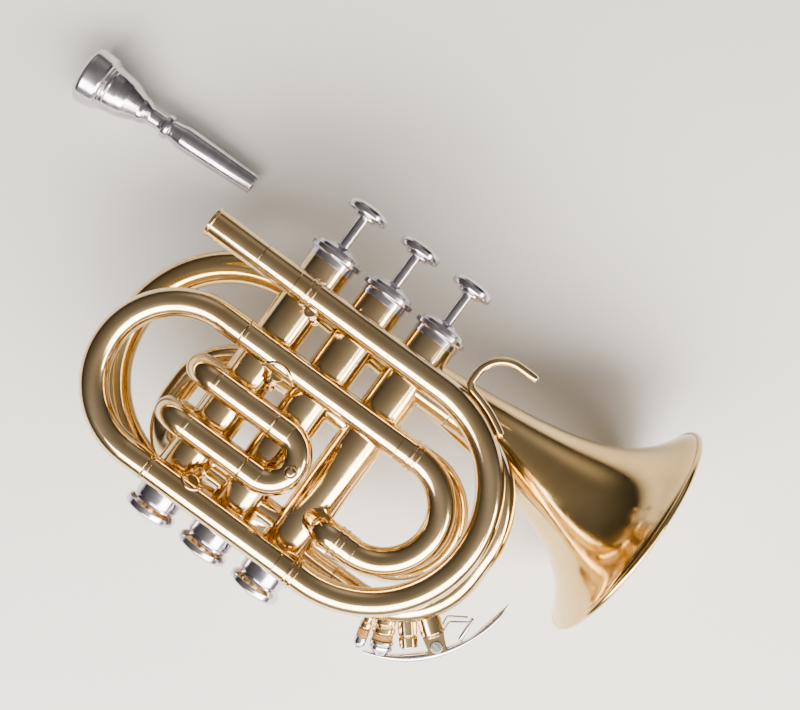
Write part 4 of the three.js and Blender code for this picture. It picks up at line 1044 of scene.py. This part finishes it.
def make_bell_line():
    port = at(valve_x(1), EXIT_PORT_Y)
    exit_lower = at(EXIT_LEFT_X, EXIT_PORT_Y, BACK_Z)
    exit_upper = at(EXIT_LEFT_X, UPPER_LEG_LEFT_Y, BACK_Z)
    upper, lower = (at(MIDDLE_BOW_X, y, BACK_Z) for y in MIDDLE_BOW_YS)
    bell_lower = at(*BELL_BOW_LEFT, BACK_Z)
    bell_upper = at(BELL_BOW_LEFT[0], BELL_Y, BACK_Z)

    def bend_end(corner, towards, other, radius):
        """Where the bend at a corner ends, on its side towards the first of its neighbours."""
        angle = (corner - towards).angle(other - corner)
        return corner + (towards - corner).normalized() * (radius * tan(angle / 2))

    exit_end = bend_end(exit_upper, upper, exit_lower, EXIT_BENDS[1])
    leg_end = bend_end(upper, exit_upper, lower, MIDDLE_BOW)
    bow_end = bend_end(lower, bell_lower, upper, MIDDLE_BOW)
    lower_end = bend_end(bell_lower, lower, bell_upper, BELL_BOW)
    on_horn(tube([port, exit_lower, exit_upper, exit_end], EXIT_BENDS, cuts=[CUTTERS[1]]),
            "bell_line_exit_bow")
    on_horn(joined(tube([exit_end, leg_end]), joint_band(exit_end, leg_end, TUBE),
                   joint_band(leg_end, exit_end, TUBE)), "bell_line_upper_leg")
    on_horn(tube([leg_end, upper, lower, bow_end], (MIDDLE_BOW, MIDDLE_BOW),
                 radius=MIDDLE_BOW_TUBE - 0.05), "bell_line_middle_bow")
    on_horn(joined(tube([bow_end, lower_end], radius=MIDDLE_BOW_TUBE),
                   joint_band(bow_end, lower_end, MIDDLE_BOW_TUBE),
                   joint_band(lower_end, bow_end, MIDDLE_BOW_TUBE + 0.3)), "bell_line_lower_leg")
    on_horn(tube([lower_end, bell_lower, bell_upper, at(TAIL_X, BELL_Y, BACK_Z)], (BELL_BOW, BELL_BOW),
                 radius=BELL_BOW_TUBE, widens=(MIDDLE_BOW_TUBE, TAIL)),
            "bell_bow", SHADED_BELL_BRASS)


def joint_band(start, towards, radius):
    """A narrow soldered band over the end of a tube."""
    outline = [(0, radius - 0.1, 0), (0, radius + JOINT_RISE, 0.3), (JOINT_BAND, radius + JOINT_RISE, 0.3),
               (JOINT_BAND, radius - 0.1, 0)]
    return turned(outline, start, towards, closed=True)


def make_bell():
    skin = baked(bpy.data.meshes.new("blank"), by_tree(
        BELL_TREE, length=RIM_X - TAIL_X - RIM_BEAD, rim_radius=RIM - RIM_BEAD), with_wall(BELL_WALL))
    skin.transform(Matrix.Translation(at(TAIL_X, BELL_Y, BACK_Z)))
    ring = [at(RIM_X - RIM_BEAD, BELL_Y, BACK_Z)
            + (RIM - RIM_BEAD) * at(0, cos(angle), sin(angle))
            for angle in round_by(RIM_SIDES)]
    band = joint_band(at(TAIL_X - 3, BELL_Y, BACK_Z), at(RIM_X, BELL_Y, BACK_Z), TAIL)
    on_horn(joined(skin, wire(ring, RIM_BEAD, looped=True), band), "bell", SHADED_BELL_BRASS)


def make_hook():
    out = FRONT_BOW + TUBE + HOOK_WIRE - 0.1
    middle = front(FRONT_BOW_X, LEAD_Y - FRONT_BOW)

    def on_bow(angle, radius):
        return middle + radius * at(cos(angle), sin(angle), 0)

    half = (HOOK_LEAVE_ANGLE - HOOK_FOOT_ANGLE) / 2
    leave = on_bow(HOOK_LEAVE_ANGLE, out)
    run = (leave.x - HOOK_NECK_X) / tan(HOOK_LEAVE_ANGLE)
    on_horn(wire(bent_path(
        [on_bow(HOOK_FOOT_ANGLE, out), on_bow(HOOK_FOOT_ANGLE + half, out / cos(half)),
         front(HOOK_NECK_X, leave.y + run), front(HOOK_NECK_X, HOOK_TOP_Y),
         front(HOOK_TIP_X, HOOK_TOP_Y)], (out, HOOK_NECK_BEND, HOOK_TOP_BEND)), HOOK_WIRE),
        "little_finger_hook")


# Braces, which the solids leave out


def wrapped_foot(centre, out, radius):
    """A round plate with a raised rim, bent over a tube: centre is on the tube's axis, and out points
    from there to the plate's middle."""
    along = at(1, 0, 0)
    side = along.cross(out)
    shape = bmesh.new()
    rings, steps, sides = [], 8, 48
    flat = radius - FOOT_RIM
    profile = [(flat * i / steps, FOOT_PLATE) for i in range(1, steps + 1)]
    profile += [(flat + 0.25, FOOT_PLATE + 0.3), (flat + 0.55, FOOT_PLATE + 0.42),
                (flat + 0.85, FOOT_PLATE + 0.36), (radius - 0.15, FOOT_PLATE + 0.12),
                (radius, FOOT_PLATE - 0.2), (radius, -0.2)]
    for reach, lift in profile:
        ring = []
        for angle in round_by(sides):
            bend = reach * sin(angle) / TUBE
            normal = out * cos(bend) + side * sin(bend)
            ring.append(shape.verts.new(centre + along * reach * cos(angle) + normal * (TUBE + lift)))
        rings.append(ring)
    return capped(shape, rings)


def post(start, end):
    """A turned brace post with a waist and a collar at each end."""
    length = (end - start).length
    half = length / 2
    return turned([(0, 2.6, 0.2), (0.8, 2.6, 0.4), (1.3, 1.5, 0.4), (half - 0.9, 1.3, 0.4),
                   (half - 0.6, 2.1, 0.4), (half + 0.6, 2.1, 0.4), (half + 0.9, 1.3, 0.4),
                   (length - 1.3, 1.5, 0.4), (length - 0.8, 2.6, 0.4), (length, 2.6, 0.2)],
                  start, end, sides=TUBE_SIDES)


def make_braces():
    """Posts between front tubes and the first casing, each with a foot on one side of its tube."""
    for name, x, y, side, casing_point, foot_radius in (
        ("middle_tube_brace", -33.5, MIDDLE_Y, -1, at(-35.0, -41.0, 73.4), 7.4),
        ("lower_tube_brace", -35.8, LOWER_Y, 1, at(-35.2, -80.0, 73.6), 5.2),
        ("leadpipe_brace", -38.0, LEAD_Y, -1, at(-35.6, -9.0, 74.0), 3.6),
    ):
        tube_point = front(x, y)
        out = at(0, side * cos(FOOT_TILT), sin(FOOT_TILT))
        foot = wrapped_foot(tube_point, out, foot_radius)
        stem = baked(post(tube_point + out * (TUBE + 0.2), casing_point), let_into(CUTTERS[1]))
        piece(name, joined(foot, stem), BRASS, "horn", replaces=False)


# Mouthpiece


def make_mouthpiece():
    lean, turn = MOUTHPIECE_LEAN, MOUTHPIECE_TURN
    rest_z = SHANK * cos(lean) + MOUTHPIECE_LENGTH * sin(lean)
    start = at(*MOUTHPIECE_PLACE, rest_z)
    way = at(cos(turn) * cos(lean), sin(turn) * cos(lean), -sin(lean))
    length, rim = MOUTHPIECE_LENGTH, MOUTHPIECE_RIM
    outside = [
        (0, 0.86, 1.2), (0.016, 0.985, 1.0), (0.03, 1.0, 0.4), (0.105, 0.955, 0.4), (0.115, 0.93, 0.3),
        (0.122, 0.86, 0.2), (0.13, 0.86, 0.2), (0.134, 0.81, 0.2), (0.15, 0.81, 0.3), (0.156, 0.78, 0.3),
        (0.2, 0.755, 2.0), (0.25, 0.68, 3.0), (0.3, 0.535, 3.0), (0.325, 0.46, 0.6), (0.345, 0.45, 0.8),
        (0.362, 0.4, 0.6), (0.385, 0.315, 1.5), (0.44, 0.305, 1.0), (0.462, 0.33, 0.4), (0.466, 0.42, 0.4),
        (0.484, 0.44, 0.5), (0.5, 0.42, 0.4), (0.504, 0.34, 0.4), (0.53, 0.36, 1.0), (0.575, 0.425, 2.5),
        (0.62, 0.433, 2.0),
    ]
    outline = [(along * length, share * rim, rounding) for along, share, rounding in outside]
    bore = [(0, 0.8 * rim, 0.8), (0.5, 9.6, 0.6), (3.0, 8.4, 1.5), (6.5, 7.0, 3.0), (10.0, 4.2, 3.0),
            (11.8, 2.1, 1.2), (14.5, 1.9, 1.0), (60, 3.2, 0), (length, 4.1, 0.2)]
    start += way * RIM_INSET
    on_horn(pipe([*outline, (length, SHANK, 0.4)], bore, start, start + way), "mouthpiece", SILVER)


# Floor and light, in metres
FLOOR_REACH = 40
FLOOR_GAP = 0.0002  # keeps the floor clear of what stands on it
# Each glow's direction, narrowness and brightness: the one round the window, a pale wall behind the
# buttons, light from above and a pale wall past the bell
ROOM_GLOWS = (
    ((0.45, -0.65, 0.62), 5.0, 0.95), ((-0.35, 0.82, 0.42), 22.0, 0.5), ((0.0, 0.0, 1.0), 1.0, 0.24),
    ((0.9, 0.2, 0.35), 16.0, 0.45),
)
ROOM_BASE = 0.05
# Soft windows: a large one at the picture's foot and a slim one past the bell
WINDOWS = (
    ("window", (0.36, -0.56, 0.74), (1.5, 0.62), 36, "#fffaf2"),
    ("side_window", (0.85, 0.05, 0.5), (0.5, 0.22), 5, "#fff4e4"),
)
EXPOSURE = -0.3


def make_floor():
    mesh = bpy.data.meshes.new("floor")
    corners = [(x * FLOOR_REACH, y * FLOOR_REACH, 0) for x, y in ((-1, -1), (1, -1), (1, 1), (-1, 1))]
    mesh.from_pydata(corners, [], [(0, 1, 2, 3)])
    material, _, shader, _ = finish("pale_floor", 300, "#efeeec", "#eae9e6")
    shader.inputs["Roughness"].default_value = 0.75
    mesh.materials.append(material)
    floor = put("floor", mesh)
    floor.location.z = -FLOOR_GAP


def make_room():
    """A grey room whose brightness is the sum of the glows in its directions."""
    world = bpy.data.worlds.new("studio")
    world.use_nodes = True
    tree = world.node_tree
    place = add(tree, "ShaderNodeTexCoord").outputs["Generated"]
    total = ROOM_BASE
    for way, sharpness, brightness in ROOM_GLOWS:
        facing = add(tree, "ShaderNodeVectorMath", {"operation": "DOT_PRODUCT"},
                     {1: Vector(way).normalized()}, {0: place})
        lobe = worked(tree, "POWER", worked(tree, "MAXIMUM", facing.outputs["Value"], 0.0), sharpness)
        total = worked(tree, "MULTIPLY_ADD", lobe, brightness, total)
    background = tree.nodes["Background"]
    background.inputs["Color"].default_value = linear("#fff8f0")
    tree.links.new(total, background.inputs["Strength"])
    scene.world = world


def make_lamps():
    aim = DRAWING_ORIGIN + at(0, -40, 40) * MM
    for name, offset, size, power, colour in WINDOWS:
        light = bpy.data.lights.new(name, "AREA")
        light.shape = "RECTANGLE"
        light.size, light.size_y = size
        light.energy = power
        light.color = linear(colour)[:3]
        lamp = put(name, light)
        lamp.location = aim + Vector(offset)
        lamp.rotation_euler = (-Vector(offset)).to_track_quat("-Z", "Y").to_euler()
    view = scene.view_settings
    view.view_transform = "AgX"
    view.look = "AgX - Medium High Contrast"
    view.exposure = EXPOSURE


place_camera()
make_leadpipe()
make_front_bow()
make_tuning_slide()
make_inlet()
for valve in (1, 2, 3):
    make_casing(valve)
    make_piston(valve)
    make_valve_spring(valve)
for valve in (1, 2):
    make_knuckles(valve)
make_first_slide()
make_second_slide()
make_third_slide()
make_water_key()
make_bell_line()
make_bell()
make_hook()
make_braces()
make_mouthpiece()
for spent in CUTTERS.values():
    bpy.data.objects.remove(spent)
make_floor()
make_room()
make_lamps()
